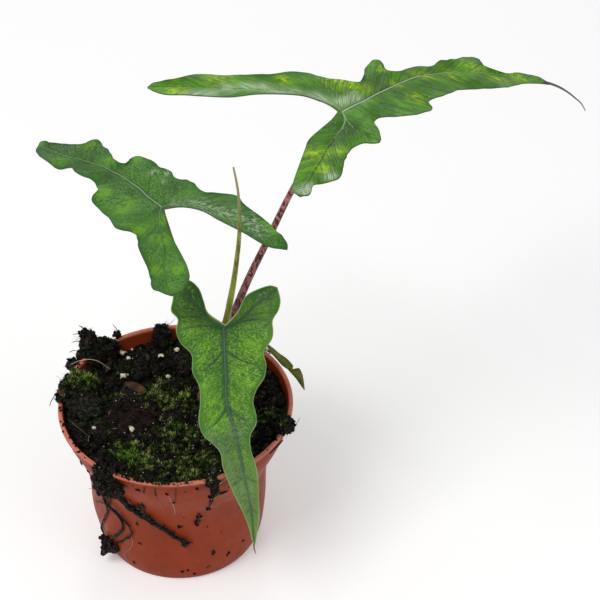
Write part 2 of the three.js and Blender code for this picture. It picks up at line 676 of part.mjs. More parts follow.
bodies.soil = { body: soil, colour: COLOURS.soil, roughness: 0.95 };
bodies.crown = { body: mainPiece(crownBody), colour: COLOURS.crown, roughness: 0.7 };
for (const [name, body] of Object.entries(cutPetioles)) {
  bodies[name] = { body, colour: COLOURS.petiole, roughness: 0.45 };
}
for (const [name, body] of Object.entries(blades)) {
  bodies[name] = { body, colour: COLOURS.leaf, roughness: 0.35 };
}
bodies.new_leaf_spear = { body: stalk(SPEAR, 0), colour: COLOURS.spear, roughness: 0.4 };
bodies.small_folded_leaf = { body: smallLeaf, colour: COLOURS.spear, roughness: 0.5 };
bodies.old_root = { body: oldRoot(0), colour: COLOURS.root, roughness: 0.9 };
bodies.fine_roots = { body: fineRoots(0), colour: COLOURS.root, roughness: 0.9 };
bodies.bark_chip = { body: barkChip(0), colour: COLOURS.bark, roughness: 0.85 };
PERLITE.forEach((spot, i) => {
  bodies[`perlite_${i + 1}`] = { body: grain(spot, i, 0), colour: COLOURS.perlite, roughness: 0.9 };
});

const plant = new THREE.Group();
for (const [name, { body, colour, roughness }] of Object.entries(bodies)) {
  const material = new THREE.MeshStandardMaterial({ color: colour, roughness, metalness: 0 });
  const mesh = new THREE.Mesh(geometryOf(body), material);
  mesh.name = name;
  plant.add(mesh);
}

export default plant;
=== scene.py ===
# %% [markdown]
# # A potted sabrina alocasia
#
# This lesson dresses a young sabrina alocasia in its 12 cm nursery pot. The real plant has three leaves
# shaped like arrowheads, with wavy margins, a rolled new leaf and a small folded one, all from one crown in
# mossy peat soil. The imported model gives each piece's size and place. Here every piece gets its fine shape
# and its finish. Lengths are in millimetres in the lists below, and are turned into metres where a mesh is
# written.

import math
import random

import bpy
import numpy as np
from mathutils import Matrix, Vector
from mathutils.bvhtree import BVHTree
from mathutils.kdtree import KDTree


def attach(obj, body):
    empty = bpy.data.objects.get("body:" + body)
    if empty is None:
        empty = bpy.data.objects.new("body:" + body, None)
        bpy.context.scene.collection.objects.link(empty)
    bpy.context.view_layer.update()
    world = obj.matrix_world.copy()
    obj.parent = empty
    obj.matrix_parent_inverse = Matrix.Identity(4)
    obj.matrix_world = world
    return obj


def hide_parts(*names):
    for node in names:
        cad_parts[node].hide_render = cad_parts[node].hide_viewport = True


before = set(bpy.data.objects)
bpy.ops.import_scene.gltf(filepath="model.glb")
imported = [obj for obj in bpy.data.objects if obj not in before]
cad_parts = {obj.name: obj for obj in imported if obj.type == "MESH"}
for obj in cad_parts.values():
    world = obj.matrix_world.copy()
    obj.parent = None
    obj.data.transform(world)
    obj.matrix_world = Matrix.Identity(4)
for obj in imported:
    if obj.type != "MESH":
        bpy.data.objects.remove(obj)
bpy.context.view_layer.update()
MM = 0.001

# %% [markdown]
# ## Camera, floor and light
#
# The picture looks down on the plant by 40 degrees from about a metre away with a long lens, so the pot's
# rim is a wide ellipse. The light is even and soft. A white floor is lit a little from beneath, as on a
# light table, and the surround is white too. A large lamp high at the left shapes the pot. A low wide one
# behind the plant is what the glossy leaves mirror: leaves that lie level send it straight to the camera,
# and a leaf that faces the camera doesn't.

# %% Camera
CAMERA_PLACE = (0.064, -0.718, 0.760)
CAMERA_TILT = 50  # degrees up from looking straight down
bpy.ops.object.camera_add(location=CAMERA_PLACE, rotation=(math.radians(CAMERA_TILT), 0, 0))
camera = bpy.context.object
camera.data.lens = 114.3
camera.data.sensor_width = 36
bpy.context.scene.camera = camera
print("camera", CAMERA_PLACE, "lens", camera.data.lens)

# %% Surround and lamps
scene = bpy.context.scene
scene.view_settings.view_transform = "Standard"
scene.world = bpy.data.worlds.new("studio")
scene.world.use_nodes = True
surround = scene.world.node_tree.nodes["Background"]
surround.inputs["Color"].default_value = (1.0, 1.0, 1.0, 1.0)
surround.inputs["Strength"].default_value = 0.42
LAMPS = {  # place, aim, width and power
    "key_lamp": ((-0.7, -0.7, 1.6), (0.03, 0, 0.12), 0.8, 15),
    "fill_lamp": ((1.1, -0.9, 1.0), (0.03, 0, 0.12), 1.0, 3),
    "back_lamp": ((0.0, 1.5, 0.95), (0.05, 0, 0.2), 0.5, 3.2),
}
for lamp_name, (place, aim, width, power) in LAMPS.items():
    bpy.ops.object.light_add(type="AREA", location=place)
    lamp = bpy.context.object
    lamp.name = lamp_name
    lamp.data.shape = "SQUARE"
    lamp.data.size = width
    lamp.data.energy = power
    lamp.rotation_euler = (Vector(aim) - Vector(place)).to_track_quat("-Z", "Y").to_euler()
print("lamps", len(LAMPS))

# %% Floor
bpy.ops.object.select_all(action="DESELECT")
bpy.ops.mesh.primitive_plane_add(size=8)
floor = bpy.context.object
floor.name = "floor"
floor_finish = bpy.data.materials.new("pale_floor")
floor_finish.use_nodes = True
floor_paint = floor_finish.node_tree.nodes["Principled BSDF"]
floor_paint.inputs["Base Color"].default_value = (0.95, 0.95, 0.95, 1)
floor_paint.inputs["Emission Color"].default_value = (1, 1, 1, 1)
floor_paint.inputs["Emission Strength"].default_value = 0.22
floor_paint.inputs["Roughness"].default_value = 0.9
floor_paint.inputs["Specular IOR Level"].default_value = 0.1
floor.data.materials.append(floor_finish)

# %% [markdown]
# ## Small tools
#
# A few helpers read and write a mesh's corners in millimetres, keep a number on each corner for a material
# to read, and seat a finished piece in the frame. The noise is the same one that the soil's solid was made
# with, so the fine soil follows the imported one.

# %% Seeded chance
chance = random.Random(21)
draw = np.random.default_rng(21)


# %% Mesh helpers
def deselect():
    """Operators act on all that is selected, so each piece starts with nothing selected."""
    bpy.ops.object.select_all(action="DESELECT")


def points_of(piece):
    corners = np.empty(len(piece.data.vertices) * 3, np.float32)
    piece.data.vertices.foreach_get("co", corners)
    return corners.reshape(-1, 3).astype(float) / MM


def set_points(piece, corners):
    piece.data.vertices.foreach_set("co", (np.asarray(corners) * MM).astype(np.float32).ravel())
    piece.data.update()


def turning(axis, angle):
    """A matrix that turns rows of points about an axis, 0 for x to 2 for z."""
    first, second = [(1, 2), (2, 0), (0, 1)][axis]
    turn = np.eye(3)
    turn[first, first] = turn[second, second] = math.cos(angle)
    turn[first, second], turn[second, first] = math.sin(angle), -math.sin(angle)
    return turn


def mark(piece, name, values):
    """Keeps a number on each corner."""
    layer = piece.data.attributes.get(name) or piece.data.attributes.new(name, "FLOAT", "POINT")
    layer.data.foreach_set("value", np.asarray(values, np.float32))


def marks_of(piece, name):
    values = np.empty(len(piece.data.vertices), np.float32)
    piece.data.attributes[name].data.foreach_get("value", values)
    return values.astype(float)


def joined(pieces):
    deselect()
    for piece in pieces:
        piece.select_set(True)
    bpy.context.view_layer.objects.active = pieces[0]
    if len(pieces) > 1:
        bpy.ops.object.join()
    return pieces[0]


def edit(piece, *steps):
    """Runs edit-mode steps on a whole piece, each a function without arguments."""
    deselect()
    piece.select_set(True)
    bpy.context.view_layer.objects.active = piece
    bpy.ops.object.mode_set(mode="EDIT")
    bpy.ops.mesh.select_all(action="SELECT")
    for step in steps:
        step()
    bpy.ops.object.mode_set(mode="OBJECT")


def merge(distance=0.02):
    return lambda: bpy.ops.mesh.remove_doubles(threshold=distance * MM)


def face_outwards():
    bpy.ops.mesh.select_all(action="SELECT")
    bpy.ops.mesh.normals_make_consistent(inside=False)


def close_holes():
    """Closes the open ends of a tube with a flat face each."""
    bpy.ops.mesh.select_all(action="DESELECT")
    bpy.ops.mesh.select_mode(type="EDGE")
    bpy.ops.mesh.select_non_manifold()
    bpy.ops.mesh.edge_face_add()
    bpy.ops.mesh.select_mode(type="VERT")


def smooth(piece, degrees=40):
    deselect()
    piece.select_set(True)
    bpy.context.view_layer.objects.active = piece
    bpy.ops.object.shade_smooth_by_angle(angle=math.radians(degrees))


def seat(piece, name, finish, slot, *nodes):
    """Names a finished piece, gives it its finish and its body, and lets it stand for its nodes."""
    piece.name = name
    piece.data.name = name
    if finish:
        piece.data.materials.clear()
        piece.data.materials.append(finish)
    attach(piece, "root")
    if nodes:
        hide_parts(*nodes)
    piece.data.calc_loop_triangles()
    print(f"{name}: {len(piece.data.loop_triangles)} triangles")
    return piece


# %% Noise
def hashed(i, j, k):
    s = np.sin(i * 127.1 + j * 311.7 + k * 74.7) * 43758.5453
    return s - np.floor(s)


def noise(x, y, z):
    """Smooth noise between -1 and 1 that always gives the same value at the same place."""
    x, y, z = np.broadcast_arrays(np.asarray(x, float), np.asarray(y, float), np.asarray(z, float))
    cell = [np.floor(x), np.floor(y), np.floor(z)]
    part = [(v - c) ** 2 * (3 - 2 * (v - c)) for v, c in zip((x, y, z), cell)]
    total = np.zeros(x.shape)
    for corner in range(8):
        step = (corner & 1, (corner >> 1) & 1, corner >> 2)
        share = np.ones(x.shape)
        for axis in range(3):
            share = share * (part[axis] if step[axis] else 1 - part[axis])
        total += share * hashed(*(cell[axis] + step[axis] for axis in range(3)))
    return 2 * total - 1


def rough(x, y, z, size, octaves):
    """Noise in ever finer layers; size is the width of the coarsest one."""
    total, height = 0.0, 1.0
    for layer in range(octaves):
        total = total + height * noise(x / size + 9 * layer, y / size, z / size)
        size, height = size / 2, height / 2
    return total


# %% Smooth lines
def smooth_line(points, fine=40):
    """A Catmull-Rom line through points, as close samples and the length up to each."""
    p = np.array(points, float)
    p = np.vstack([2 * p[0] - p[1], p, 2 * p[-1] - p[-2]])
    t = np.linspace(0, 1, fine, endpoint=False)[:, None]
    runs = []
    for i in range(1, len(p) - 2):
        a, b = p[i], p[i + 1]
        da, db = (p[i + 1] - p[i - 1]) / 2, (p[i + 2] - p[i]) / 2
        runs.append((2 * a - 2 * b + da + db) * t ** 3 + (3 * b - 3 * a - 2 * da - db) * t ** 2 + da * t + a)
    line = np.vstack(runs + [p[-2:-1]])
    lengths = np.concatenate([[0], np.cumsum(np.linalg.norm(np.diff(line, axis=0), axis=1))])
    return line, lengths


def along(line, share):
    """The places at shares of a smooth line's length."""
    samples, lengths = line
    columns = [np.interp(share * lengths[-1], lengths, column) for column in samples.T]
    return np.stack(columns, -1)


# %% [markdown]
# ## Finishes
#
# Every finish is a small net of nodes. `Finish` is a short way to write one: each call adds a node and
# gives back the socket to use next. Colours are written as they look on a screen, from 0 to 255, and turned
# into the linear values that the shader works with. A finish starts with a ground and gets coat after coat,
# as a painted model would.

# %% A short way to write nodes
def paint(red, green, blue):
    """A screen colour as the shader's linear one."""
    shares = [v / 255 for v in (red, green, blue)]
    linear = [v / 12.92 if v <= 0.04 else ((v + 0.055) / 1.055) ** 2.4 for v in shares]
    return (*linear, 1.0)


class Finish:
    """A material in the making."""

    def __init__(self, name, roughness=0.5, gloss=0.5):
        self.material = bpy.data.materials.new(name)
        self.material.use_nodes = True
        self.tree = self.material.node_tree
        self.shader = self.tree.nodes["Principled BSDF"]
        self.shader.inputs["Roughness"].default_value = roughness
        self.shader.inputs["Specular IOR Level"].default_value = gloss
        self.places = self.tree.nodes.new("ShaderNodeTexCoord").outputs["Object"]

    def node(self, kind, inputs, output=0, **settings):
        made = self.tree.nodes.new(kind)
        for key, value in settings.items():
            setattr(made, key, value)
        for key, value in inputs.items():
            if isinstance(value, bpy.types.NodeSocket):
                self.tree.links.new(value, made.inputs[key])
            else:
                made.inputs[key].default_value = value
        return made.outputs[output]

    def sum(self, operation, a, b=0.0):
        return self.node("ShaderNodeMath", {0: a, 1: b}, operation=operation)

    def mix(self, share, a, b):
        return self.node("ShaderNodeMix", {0: share, 6: a, 7: b}, output=2, data_type="RGBA")

    def ramp(self, value, low, high, start=0.0, end=1.0):
        """start below low, end above high and a smooth step between."""
        inputs = {"Value": value, "From Min": low, "From Max": high, "To Min": start, "To Max": end}
        return self.node("ShaderNodeMapRange", inputs, interpolation_type="SMOOTHSTEP")

    def mapped(self, vector, scale, turn=(0, 0, 0)):
        """The same places stretched, and turned where a pattern runs slantwise."""
        return self.node("ShaderNodeMapping", {"Vector": vector, "Scale": scale, "Rotation": turn})

    def noise(self, per_metre, detail=2.0, vector=None, roughness=0.5, twist=0.0):
        inputs = {"Vector": vector or self.places, "Scale": per_metre, "Detail": detail,
                  "Roughness": roughness, "Distortion": twist}
        return self.node("ShaderNodeTexNoise", inputs)

    def cells(self, per_metre, vector=None, spread=1.0):
        """How far each place is from the middle of its cell."""
        inputs = {"Vector": vector or self.places, "Scale": per_metre, "Randomness": spread}
        return self.node("ShaderNodeTexVoronoi", inputs)

    def mark(self, name):
        """The number of that name that the mesh keeps on its corners."""
        return self.node("ShaderNodeAttribute", {}, output="Fac", attribute_name=name)

    def near(self, x, y, z, reach, most=1.0):
        """most within a place, in millimetres, and nothing beyond its reach."""
        inputs = {0: self.places, 1: (x * MM, y * MM, z * MM)}
        away = self.node("ShaderNodeVectorMath", inputs, output="Value", operation="DISTANCE")
        return self.ramp(away, 0.4 * reach * MM, reach * MM, most, 0.0)

    def size_of(self, value):
        return self.node("ShaderNodeMath", {0: value}, operation="ABSOLUTE")

    def ground(self, share, low, high):
        """The first coat, between two screen colours."""
        self.colour = self.mix(share, paint(*low), paint(*high))
        self.give("Base Color", self.colour)

    def coat(self, share, colour):
        """Another screen colour over the coats so far, as dense as its share."""
        self.colour = self.mix(share, self.colour, paint(*colour))
        self.give("Base Color", self.colour)

    def bump(self, height, depth, strength=1.0):
        inputs = {"Height": height, "Distance": depth * MM, "Strength": strength}
        return self.node("ShaderNodeBump", inputs)

    def give(self, socket, value):
        if isinstance(value, bpy.types.NodeSocket):
            self.tree.links.new(value, self.shader.inputs[socket])
        else:
            self.shader.inputs[socket].default_value = value


# %% [markdown]
# ## Round things that follow a line
#
# Stalks, roots and the leaves' drip tips are all tubes along a curved line. They could be bevelled curves,
# but then the radius could vary along the line only. Here a grid is rolled round the line: one direction of
# the grid follows it and the other closes into a ring, whose radius may vary all along and round.

# %% Roll a grid round a route
def frames_along(line):
    """A steady pair of cross directions at each sample of a line in space."""
    heading = np.gradient(line, axis=0)
    heading /= np.linalg.norm(heading, axis=1)[:, None]
    across = [np.cross(heading[0], (0.3, 0.9, 0.1))]
    across[0] /= np.linalg.norm(across[0])
    for h in heading[1:]:
        turned = across[-1] - h * (across[-1] @ h)
        across.append(turned / np.linalg.norm(turned))
    across = np.array(across)
    return across, np.cross(heading, across)


def rolled(route, radius_at, step=0.8, sides=20):
    """A closed tube along a route; radius_at(share, turn) may vary round the ring."""
    line = smooth_line(route)
    steps = max(4, round(line[1][-1] / step))
    deselect()
    bpy.ops.mesh.primitive_grid_add(x_subdivisions=steps, y_subdivisions=sides, size=1)
    piece = bpy.context.object
    corners = points_of(piece) * MM
    s, turn = np.clip(corners[:, 0] + 0.5, 0, 1), 2 * math.pi * (corners[:, 1] + 0.5)
    share = np.linspace(0, 1, len(line[0]))
    across, upward = frames_along(along(line, share))
    pick = np.clip(np.round(s * (len(share) - 1)).astype(int), 0, len(share) - 1)
    radius = radius_at(s, turn)[:, None]
    spoke = np.cos(turn)[:, None] * across[pick] + np.sin(turn)[:, None] * upward[pick]
    set_points(piece, along(line, s) + radius * spoke)
    mark(piece, "along", s * line[1][-1])
    edit(piece, merge(0.005), close_holes, face_outwards)
    return piece


# %% [markdown]
# ## Leaf blades
#
# A sabrina leaf is an arrowhead: a long front half and two lobes that point back past the stalk's joint.
# Each half of a blade is three strips: the front half from the midrib to the margin, the lobe from its own
# rib to the margin, and the notch side of the lobe. A strip starts as a flat primitive grid, and each of
# its corners is moved between the rib and the margin. The strips are joined and merged while they are still
# flat, because there it is easy to measure how far each corner lies from the ribs, the side veins and the
# margin. Those distances shape the relief and are kept for the finish. Only then is the blade lifted to its
# place, waved and given its thickness, with ribs that stand out underneath.
#
# The points of the ribs, the notches and the front leaf's margins began as places picked in the picture,
# which a separate program turned into millimetres on the leaf. The margins of the upper and the left leaf
# weren't picked. A program searched them along the picture's edge and set a point every 3.6 mm, and only 5 of
# their 256 points differ from what it found.

# %% Outlines of the leaves, forward of the joint and to the left
FORWARD = 1.12  # side veins slant: they leave the rib further back than they meet the margin
LEAVES = {
    "leaf_upper": dict(
        at=(84, 20, 255.95), heading=37, face=(0.1, 0.08, 1), droop=0.001, lobe_droop=0.0006,
        keel=0.04, wave=1.2, ripples=6,
        midrib=[(0, 0), (17, 4), (36, 9), (57, 14), (75, 14), (88, 13), (104, 9), (119, 4), (136, -3)],
        sinus=(-2, 1),
        left=dict(
            rib=[(0, 0), (0, 8), (-2, 14), (-6, 22), (-14, 30), (-28, 39), (-43, 50), (-58, 60), (-66, 65)],
            margin=[(-66, 65), (-62.5, 66), (-59.5, 65), (-56, 64), (-52.5, 62.5), (-49, 62), (-45.5, 62),
                    (-41.5, 62), (-38, 61), (-35, 59.5), (-32, 57), (-29.5, 54.5), (-27, 52.5), (-24, 50),
                    (-21.5, 47.5), (-18.5, 45.5), (-15, 43.5), (-12, 42), (-8.5, 41.5), (-5, 41.5),
                    (-1, 41.5), (2.5, 40.5), (5.5, 38.5), (8, 36), (9, 32.5), (10.5, 29.5), (12, 26),
                    (14.5, 23.5), (17, 21), (19.5, 18.5), (23, 17), (26, 18.5), (29, 21), (31.5, 23.5),
                    (34, 26), (36.5, 29), (39.5, 31), (42.5, 32.5), (46, 34), (48.5, 32), (47, 28.5),
                    (45.5, 25.5), (45, 22), (48, 20.5), (52, 20.5), (55, 21.5), (58.5, 23), (62, 24),
                    (65.5, 24.5), (69, 24), (72, 22), (75.5, 21.5), (79, 23), (82.5, 24), (85.5, 23),
                    (89, 24), (92.5, 24), (96, 25.5), (99, 27), (102.5, 28.5), (106, 28.5), (109, 28.5),
                    (111, 26), (110, 23.5), (107.5, 20.5), (106, 17.5), (106.5, 14), (108.5, 11),
                    (111, 9), (114.5, 7.5), (118, 8), (121.5, 9), (125, 9), (128.5, 7.5), (132, 6),
                    (134.5, 4), (135, 0.5), (136, -3)],
            side=24,
            inner=[(-66, 65), (-66, 60), (-63, 54), (-56, 49), (-50, 44), (-39, 36), (-27, 32), (-16, 26),
                   (-8, 20), (-4, 13), (-2, 6)]),
        right=dict(
            rib=[(0, 0), (-5, -8), (-16, -16), (-26, -22), (-34, -28), (-43, -34), (-52, -40), (-60, -46)],
            margin=[(-60, -46), (-57.5, -48.5), (-54.5, -47), (-52, -44.5), (-49, -42.5), (-45.5, -43.5),
                    (-42, -44.5), (-38.5, -45.5), (-35.5, -44), (-33, -41.5), (-30.5, -39), (-28, -36.5),
                    (-25, -34.5), (-22.5, -32), (-19.5, -30), (-16.5, -28), (-13, -27), (-9.5, -27.5),
                    (-7.5, -30.5), (-5, -32.5), (-2.5, -31), (-0.5, -28), (1.5, -25), (3.5, -21.5),
                    (5, -18.5), (6.5, -15.5), (9.5, -13), (12.5, -12), (16, -13.5), (18.5, -16),
                    (21.5, -18), (24.5, -19.5), (28, -20.5), (31.5, -20), (35, -19), (38.5, -18),
                    (41.5, -16.5), (44, -13.5), (44.5, -10), (47.5, -8.5), (51, -8.5), (54.5, -9),
                    (58, -8.5), (61.5, -8), (65, -6.5), (68, -5), (71.5, -4), (75, -3.5), (78.5, -3.5),
                    (82, -4.5), (85.5, -5.5), (88.5, -7.5), (92, -8.5), (95.5, -9), (99, -9), (102, -7.5),
                    (105.5, -6), (108.5, -4.5), (112, -3.5), (115.5, -2.5), (119, -2.5), (122.5, -3),
                    (126, -3.5), (129.5, -4), (133, -4.5), (136, -3)],
            side=19,
            inner=[(-60, -46), (-61, -42), (-57, -37), (-46, -27), (-37, -19), (-30, -13), (-19, -8),
                   (-10, -4)])),
    "leaf_left": dict(
        at=(-3, 15, 204), heading=128, face=(-0.1, 0, 1), droop=0.0012, lobe_droop=0.0008,
        keel=0.05, wave=1.3, ripples=6,
        midrib=[(0, 0), (11, 0), (22, -1), (38, -1), (53, 0), (68, 3), (81, 6), (95, 7), (107, 7)],
        sinus=(-3, 0),
        left=dict(
            rib=[(0, 0), (-7, 6), (-17, 12), (-29, 18), (-40, 26), (-49, 31), (-56, 33)],
            margin=[(-56, 33), (-54, 35), (-51, 36.5), (-48.5, 38), (-45, 37), (-42, 35), (-38.5, 33.5),
                    (-35.5, 32), (-32, 30.5), (-28.5, 29.5), (-25, 28.5), (-22, 27.5), (-18.5, 26),
                    (-15.5, 24), (-12, 22.5), (-9, 21), (-5.5, 22), (-3.5, 24.5), (-0.5, 26.5), (3, 26),
                    (6.5, 25), (10, 24), (13.5, 23.5), (17, 23), (21, 22.5), (24.5, 22.5), (28, 22),
                    (30.5, 19.5), (32, 16.5), (34.5, 14), (38, 13), (41.5, 11.5), (44.5, 10.5),
                    (48.5, 10.5), (51.5, 12), (55, 13), (58.5, 13), (62, 12), (65.5, 11), (68.5, 12),
                    (71, 14.5), (74.5, 15.5), (78, 15.5), (81.5, 15.5), (85, 15.5), (88.5, 15), (92, 14.5),
                    (95.5, 13.5), (99, 12.5), (102, 11.5), (105, 9), (107, 7)],
            side=17,
            inner=[(-56, 33), (-57, 28), (-53, 21), (-46, 17), (-37, 14), (-24, 10), (-12, 5)]),
        right=dict(
            rib=[(0, 0), (-5, -9), (-14, -15), (-28, -18), (-42, -21), (-56, -24), (-66, -26)],
            margin=[(-66, -26), (-63.5, -28), (-60, -29), (-56.5, -30), (-53, -30), (-49.5, -30.5),
                    (-46, -30.5), (-42.5, -30), (-39, -29.5), (-35.5, -29), (-31.5, -29), (-28, -29.5),
                    (-24.5, -30.5), (-21.5, -31.5), (-18, -31.5), (-15, -29.5), (-12.5, -26.5),
                    (-10.5, -24), (-8.5, -21), (-5, -20), (-1.5, -20.5), (2, -21.5), (5.5, -21.5),
                    (9, -21.5), (12, -19.5), (15.5, -18.5), (19, -19.5), (22.5, -18.5), (25.5, -17),
                    (29, -17.5), (32.5, -18), (36, -18.5), (39.5, -18.5), (43, -18.5), (46.5, -17.5),
                    (47.5, -14.5), (45.5, -12), (44, -8.5), (46.5, -6.5), (50, -6.5), (54, -7), (57, -8.5),
                    (60.5, -10), (64, -11), (67, -12), (70.5, -11.5), (74, -12.5), (77.5, -12.5),
                    (79.5, -10), (80, -6.5), (83, -4.5), (86.5, -4), (90, -3), (93.5, -2), (96.5, -0.5),
                    (100, 1), (103, 2.5), (106.5, 2.5), (109, 4.5), (107, 7)],
            side=21,
            inner=[(-66, -26), (-59, -20), (-43, -17), (-29, -14), (-17, -12), (-8, -7)])),
    "leaf_front": dict(
        at=(27, -20, 156), heading=-85, face=(0.08, -0.82, 0.57), droop=0.0007, lobe_droop=0.004,
        keel=0.06, wave=1.1, ripples=6,
        midrib=[(0, 0), (12, 0), (25, 0), (37, 0), (48, 3), (59, 5), (72, 7), (91, 10), (111, 11)],
        sinus=(-2, 1),
        left=dict(
            rib=[(0, 0), (-4, 8), (-11, 16), (-15, 22), (-19, 27)],
            margin=[(-19, 27), (-13, 28), (-8, 27), (-3, 24), (2, 24), (6, 23), (12, 19), (18, 20), (24, 19),
                    (30, 15), (36, 13), (42, 14), (47, 14), (53, 11), (60, 11), (68, 13), (78, 14), (91, 14),
                    (101, 13), (111, 11)],
            side=3,
            inner=[(-19, 27), (-20, 23), (-18, 16), (-15, 11), (-8, 7)]),
        right=dict(
            rib=[(0, 0), (-4, -6), (-10, -11), (-17, -16), (-24, -19)],
            margin=[(-24, -19), (-20, -23), (-15, -24), (-10, -25), (-6, -22), (0, -23), (6, -21),
                    (12, -16), (20, -16), (28, -13), (36, -13), (45, -14), (52, -12), (56, -8), (61, -4),
                    (69, -3), (78, 0), (87, 4), (98, 8), (106, 10), (111, 11)],
            side=5,
            inner=[(-24, -19), (-24, -15), (-20, -11), (-14, -9), (-8, -7)])),
}

# %% [markdown]
# The side veins are given as pairs of shares: how far along the rib a vein starts, and how far along the
# margin it ends, with its strength. They slant forward more on the upper leaf.
#
# Three lists of patches follow, as places on the flat outline with a radius. Glow is painted light:
# yellow-green where light comes through the young blade. Shine is a painted reflection: pale glints where its
# crinkled skin mirrors the lamp behind. Shade is painted shade where the blade dips or curls and turns dark,
# and on a lobe of the front leaf where the left leaf's lobe casts its shadow. They could be left to noise,
# but on a plant that is made after a picture they belong to the waves of its blade, so they are placed one by
# one.

# %% Veins and patches
VEINS = {
    "leaf_upper": [(0.1, 0.3, 1), (0.22, 0.4, 0.6), (0.34, 0.52, 1), (0.48, 0.64, 0.7), (0.62, 0.76, 0.8),
                   (0.78, 0.88, 0.6)],
    "leaf_left": [(0.1, 0.2, 1), (0.24, 0.36, 0.7), (0.4, 0.52, 1), (0.56, 0.68, 0.7), (0.72, 0.82, 0.7)],
    "leaf_front": [(0.087, 0.2, 1), (0.21, 0.33, 0.35), (0.34, 0.45, 1), (0.5, 0.58, 0.35), (0.66, 0.71, 0.8),
                   (0.8, 0.85, 0.4)],
}
LOBE_VEINS = [(0.16, 0.26, 0.8), (0.36, 0.48, 0.6), (0.58, 0.7, 0.6), (0.78, 0.86, 0.4)]
NOTCH_VEINS = [(0.3, 0.4, 0.4), (0.52, 0.62, 0.4), (0.72, 0.8, 0.3)]
# Painted glow: patches where light would come through the blade
GLOW = {
    "leaf_upper": [(26, 12, 5), (42, -5, 5), (62, 14, 5), (-35, -24, 5), (-24, -27, 5), (-34, 53, 6),
                   (-57, 54, 6), (78, 10, 5), (18, 16, 6), (14, 26, 6), (41, 11, 4), (98, 18, 6), (103, 1, 5),
                   (-39, -35, 4), (-8, 36, 4), (118, 3, 6), (44, 25, 3)],
    "leaf_left": [(11, 15, 5), (29, 14, 4), (79, 10, 5), (81, -7, 5), (45, -16, 4), (-8, 18, 4),
                  (-45, 21, 3.5), (-38, 28, 3.5), (-52, -29, 3), (-46, -29, 3), (35, 13, 4), (16, 8, 4),
                  (54, -6, 4), (-21, 15, 4), (-10, 5, 4), (106, 7, 3)],
    "leaf_front": [(8, -9, 4), (15, -12, 3), (9, 12, 5), (12, 16, 4), (27, -9, 4), (35, -6, 4), (21, 6, 4),
                   (26, 10, 5), (44, -7, 5), (47, -3, 4), (35, 5, 4), (0, -16, 4), (-8, 19, 4),
                   (104, 8, 6)],
}
# Painted glints: patches where the lamp behind is mirrored, also a little smoother
SHINE = {
    "leaf_upper": [(-26, 40, 4), (-20, 35, 4), (-16, 29, 4), (-10, 24, 4), (-4, 18, 4), (-2, 12, 4),
                   (5, 7, 4), (13, 7, 4), (-35, 43, 4), (-45, 43, 4), (-52, 46, 4), (-57, -45, 4),
                   (-52, -43, 3), (-40, -42, 3)],
    "leaf_left": [(25, -13, 2.5), (20, -17, 2.5), (16, -12, 2), (-3, -6, 3), (-8, -12, 4), (-13, -17, 4),
                  (-19, -15, 4), (-24, -18, 4), (-28, -22, 4), (-38, -25, 4), (-44, -23, 4), (-49, -24, 4),
                  (-36, -21, 4)],
    "leaf_front": [(60, -5, 7), (72, 2, 7), (84, 8, 7), (-14, 20, 3), (-2, 20, 4), (50, 4, 6), (52, -9, 4)],
}
# Painted shade: dips, curled margins, and the left leaf's shadow on the front leaf
SHADE = {
    "leaf_upper": [(30, 12, 9), (60, -2, 8), (-9, -17, 8), (-20, -20, 6)],
    "leaf_left": [(96, 4, 8), (84, 2, 11), (66, 4, 7), (8, -15, 6), (20, 2, 6), (40, 4, 7), (23.5, -18, 1.8)],
    "leaf_front": [(-16, -16, 8), (-9, -11, 6), (-16, 20, 5)],
}
print("patches", sum(len(spots) for kind in (GLOW, SHINE, SHADE) for spots in kind.values()))

# %% One strip of a blade
STEP = 0.8  # distance between corners along a rib
ACROSS = 34  # corners from a rib to the margin
VEINLET_SLANT = 0.5


def strip(steps, across, place):
    """A flat grid whose corners are moved to place(s, t); s runs along the rib and t out from it."""
    deselect()
    bpy.ops.mesh.primitive_grid_add(x_subdivisions=steps, y_subdivisions=across, size=1)
    piece = bpy.context.object
    corners = points_of(piece) * MM
    s, t = corners[:, 0] + 0.5, (corners[:, 1] + 0.5) ** 1.2
    flat, lift, origin = place(np.clip(s, 0, 1), np.clip(t, 0, 1))
    set_points(piece, np.column_stack([flat, np.zeros(len(flat))]))
    mark(piece, "lift", lift)
    mark(piece, "out", t)
    corner_of = np.empty(len(piece.data.loops), np.int32)
    piece.data.loops.foreach_get("vertex_index", corner_of)
    piece.data.uv_layers[0].data.foreach_set("uv", (origin[corner_of] * MM).astype(np.float32).ravel())
    return piece


def lines_of(leaf, half):
    """The midrib, the lobe's rib from its tip, the margin, the notch's edge and the side point's share."""
    margin = smooth_line(half["margin"])
    fine = (len(margin[0]) - 1) // (len(half["margin"]) - 1)
    share = margin[1][fine * half["side"]] / margin[1][-1]
    rib = smooth_line(half["rib"][::-1])
    inner = smooth_line(half["inner"] + [leaf["sinus"]])
    return smooth_line(leaf["midrib"]), rib, margin, inner, share


